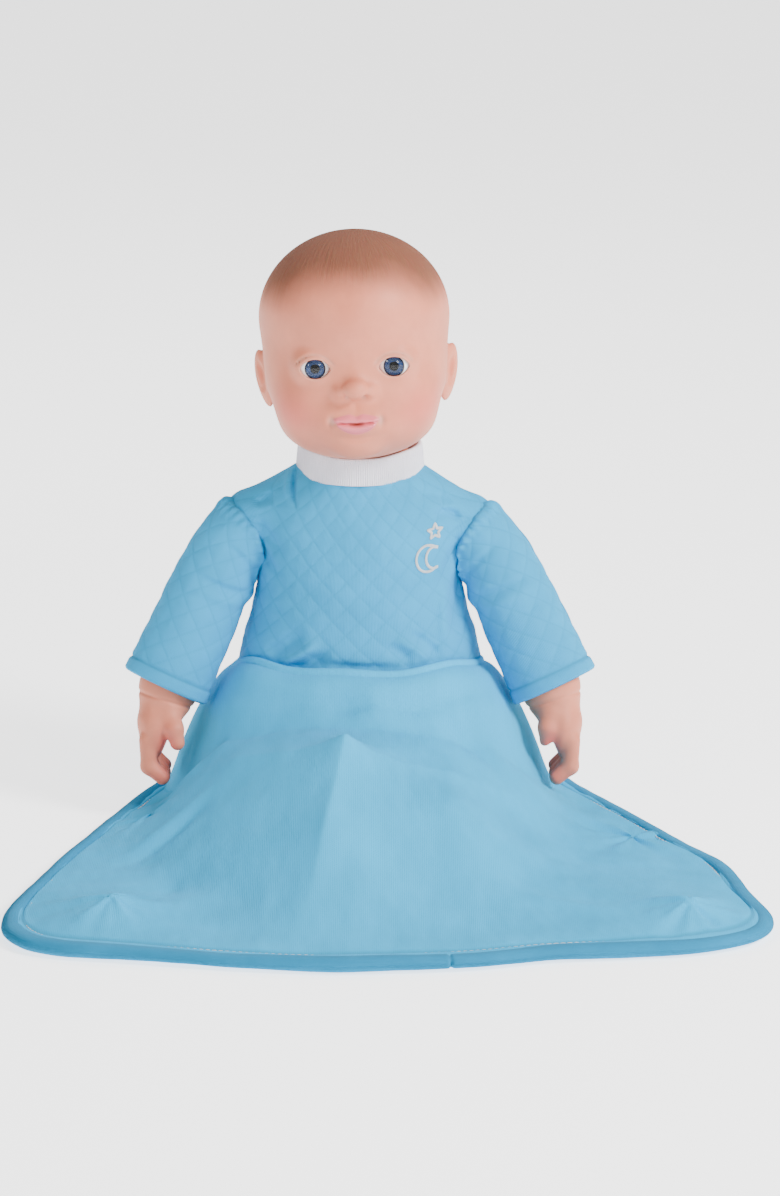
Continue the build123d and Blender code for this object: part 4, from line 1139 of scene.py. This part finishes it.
def rods(pairs, name, radius, material, body):
    """Many short round stitches in one piece, each from one point to another."""
    points, faces = [], []
    for start, end in pairs:
        a, b = np.array(start, float), np.array(end, float)
        way = (b - a) / np.linalg.norm(b - a)
        side = np.cross(way, [0, 0, 1.0])
        side /= np.linalg.norm(side) + 1e-9
        top = np.cross(side, way)
        base = len(points)
        rings = ((a - way * radius, 0.35), (a + way * radius * 0.4, 1.0), ((a + b) / 2 + top * 0.1, 1.05),
                 (b - way * radius * 0.4, 1.0), (b + way * radius, 0.35))
        for place, size in rings:
            for k in range(ROD_SIDES):
                turn = 2 * math.pi * k / ROD_SIDES
                points.append(place + radius * size * (math.cos(turn) * side + math.sin(turn) * top))
        faces += (grid_faces(len(rings), ROD_SIDES, closed=True) + base).tolist()
        faces.append(tuple(base + k for k in range(ROD_SIDES - 1, -1, -1)))
        faces.append(tuple(base + (len(rings) - 1) * ROD_SIDES + k for k in range(ROD_SIDES)))
    made = make_object(name, points, faces)
    finish_piece(made, material, body)


# ---------------------------------------------------------------- collar and emblem

COLLAR_CENTRE_Y = 4.0
COLLAR_RIBS = 180
COLLAR_TOP_Z = 204.1
COLLAR_FOLD_R = 1.3


def make_collar(material):
    """A ribbed neckband, doubled over at its top."""
    columns = 1440 if FINE else 480
    angle = np.linspace(0, 2 * np.pi, columns, endpoint=False)
    rise = 2.2 * smoothstep(0.25, 0.9, np.abs(np.cos(angle)))
    rib = 0.22 * np.cos(angle * COLLAR_RIBS)
    profile = []
    for share in np.linspace(0, 1, 14):
        profile.append((36.2 - 1.6 * share, 190.5 + share * 13.6, 1.0))
    for turn in np.linspace(0, math.pi, 9)[1:-1]:
        fold_r = 33.3 + COLLAR_FOLD_R * math.cos(turn)
        profile.append((fold_r, COLLAR_TOP_Z + COLLAR_FOLD_R * math.sin(turn), 0.6))
    for share in np.linspace(0, 1, 8):
        profile.append((32.0 + 0.6 * share, COLLAR_TOP_Z - share * 12, 1.0))
    rows = []
    for radius, z, grip in profile:
        lifted = z + rise * smoothstep(192.0, 203.0, np.array(z))
        wave = 0.4 * np.sin(angle * 3 + 0.7) + 0.25 * np.sin(angle * 7)
        r = radius + rib * grip + wave
        rows.append(np.stack([r * np.cos(angle), COLLAR_CENTRE_Y + r * np.sin(angle) * 0.985, lifted], -1))
    shape = np.array(rows)
    collar = make_object("ribbed_collar", shape.reshape(-1, 3), grid_faces(len(rows), columns, closed=True))
    u = np.broadcast_to(angle * 35.0, shape.shape[:2])
    add_place(collar, "flat", np.stack([u, shape[..., 2], u * 0], -1).reshape(-1, 3))
    finish_piece(collar, material, "torso", "collar_band")


# Where the search for the chest's surface starts, well in front of it, and how many steps it takes.
CHEST_START_Y, CHEST_STEPS = -64.0, 60
MOON_X, MOON_Z = 38.0, 149.5
STAR_X, STAR_Z = 42.0, 163.5
STAR_OUTER_R, STAR_INNER_R = 4.2, 1.9
# Across a raised line of stitching, and its height above the cloth there.
STITCH_PROFILE = ((-0.75, -0.4), (-0.7, 0.4), (-0.35, 0.85), (0.0, 1.0),
                  (0.35, 0.85), (0.7, 0.4), (0.75, -0.4))


def on_chest(x, z):
    """The bodice's front surface at points seen from the front."""
    y = np.full(len(x), CHEST_START_Y)
    for _ in range(CHEST_STEPS):
        y = y + 0.8 * bodice_field(np.stack([x, y, z], -1).astype(np.float32))
    return np.stack([x, y, z], -1)


def make_emblem(material):
    """A generic crescent and star in raised white line stitching."""
    turn = np.linspace(math.radians(50), math.radians(310), 70)
    outside = np.stack([MOON_X + 6.4 * np.cos(turn), MOON_Z + 7.2 * np.sin(turn)], -1)
    back = np.linspace(math.radians(298), math.radians(62), 60)
    inside = np.stack([MOON_X + 3.6 + 4.6 * np.cos(back), MOON_Z + 5.9 * np.sin(back)], -1)
    crescent = np.concatenate([outside, inside])
    tips = []
    for k in range(10):
        reach = STAR_OUTER_R if k % 2 == 0 else STAR_INNER_R
        way = math.radians(90 + 36 * k)
        tips.append((STAR_X + reach * math.cos(way), STAR_Z + reach * math.sin(way)))
    tips = np.array(tips)
    share = np.linspace(0, 1, 10, endpoint=False)[:, None]
    star = np.concatenate([a + (b - a) * share for a, b in zip(tips, np.roll(tips, -1, 0))])
    points, faces = [], []
    for loop in (crescent, star):
        count = len(loop)
        along = np.roll(loop, -1, 0) - np.roll(loop, 1, 0)
        along /= np.linalg.norm(along, axis=1)[:, None]
        side = np.stack([along[:, 1], -along[:, 0]], -1)
        base = sum(len(p) for p in points)
        rings = []
        for across, lift in STITCH_PROFILE:
            flat = loop + side * across
            spot = on_chest(flat[:, 0], flat[:, 1])
            spot[:, 1] -= lift + 0.06 * np.sin(np.arange(count) * 2.2)
            rings.append(spot)
        points.append(np.array(rings).reshape(-1, 3))
        faces.append(grid_faces(len(STITCH_PROFILE), count, closed=True) + base)
    emblem = make_object("crescent_emblem", np.concatenate(points), np.concatenate(faces))
    finish_piece(emblem, material, "torso", "chest_emblem")


# ---------------------------------------------------------------- the frame's other pieces

def paint_frame(skin):
    """A procedural finish for each node that stays as the frame made it, by its slot in the record."""
    finishes = {
        "white_plastic": plastic_material("white_plastic", (0.82, 0.82, 0.80), 0.35, 0.5),
        "grey_plastic": plastic_material("grey_plastic", (0.30, 0.31, 0.33), 0.4, 0.6),
        "black_plastic": plastic_material("black_plastic", (0.02, 0.02, 0.022), 0.35, 0.55),
        "steel": plastic_material("steel", (0.60, 0.60, 0.62), 0.18, 0.35, 1500.0, 1.0),
        "battery_wrap": plastic_material("battery_wrap", (0.05, 0.16, 0.10), 0.25, 0.4),
        "green_board": plastic_material("green_board", (0.02, 0.16, 0.06), 0.3, 0.5, 900.0),
        "speaker_paper": plastic_material("speaker_paper", (0.045, 0.04, 0.035), 0.7, 0.9, 1200.0),
        "wire_cover": plastic_material("wire_cover", (0.45, 0.03, 0.02), 0.35, 0.5),
        "hook_and_loop": thread_material("hook_and_loop", (0.62, 0.72, 0.80)),
        "white_thread": thread_material("white_thread", (0.84, 0.84, 0.84)),
        "body_cloth": thread_material("body_cloth", (0.76, 0.72, 0.66)),
        "polyester_fill": thread_material("polyester_fill", (0.85, 0.85, 0.84)),
        "skin_vinyl": skin,
    }
    for part in frame["record"]["subparts"]:
        node, slot = part["node"], part["material_slot"]
        if slot not in finishes or node.endswith(("_eye", "_iris", "_cornea")):
            continue
        piece = frame["nodes"][node]
        piece.data.materials.clear()
        piece.data.materials.append(finishes[slot])
        if slot == "skin_vinyl":
            for mask in ("blush_and_palm_shade", "lips", "mouth_gap_shade", "crease", "hair"):
                add_mask(piece, mask, np.zeros(len(piece.data.vertices)))
    return finishes


make_camera()
make_stage()
vinyl = skin_material("skin_vinyl")
quilted = cloth_material("blue_quilt", (0.020, 0.390, 0.720), "quilt")
jersey = cloth_material("blue_jersey", (0.020, 0.490, 0.860), "jersey")
tape_cloth = cloth_material("blue_binding", (0.012, 0.290, 0.540), "rib")
collar_cloth = cloth_material("white_rib", (0.86, 0.84, 0.92), "rib")
thread = thread_material("seam_thread", (0.72, 0.80, 0.82))
finishes = paint_frame(vinyl)
make_head(vinyl)
make_eyes()
for side in SIDES:
    make_hand(side, vinyl)
    make_sleeve(side, quilted)
make_bodice(quilted)
make_sack(jersey)
make_binding(tape_cloth, thread)
make_collar(collar_cloth)
make_emblem(finishes["white_thread"])
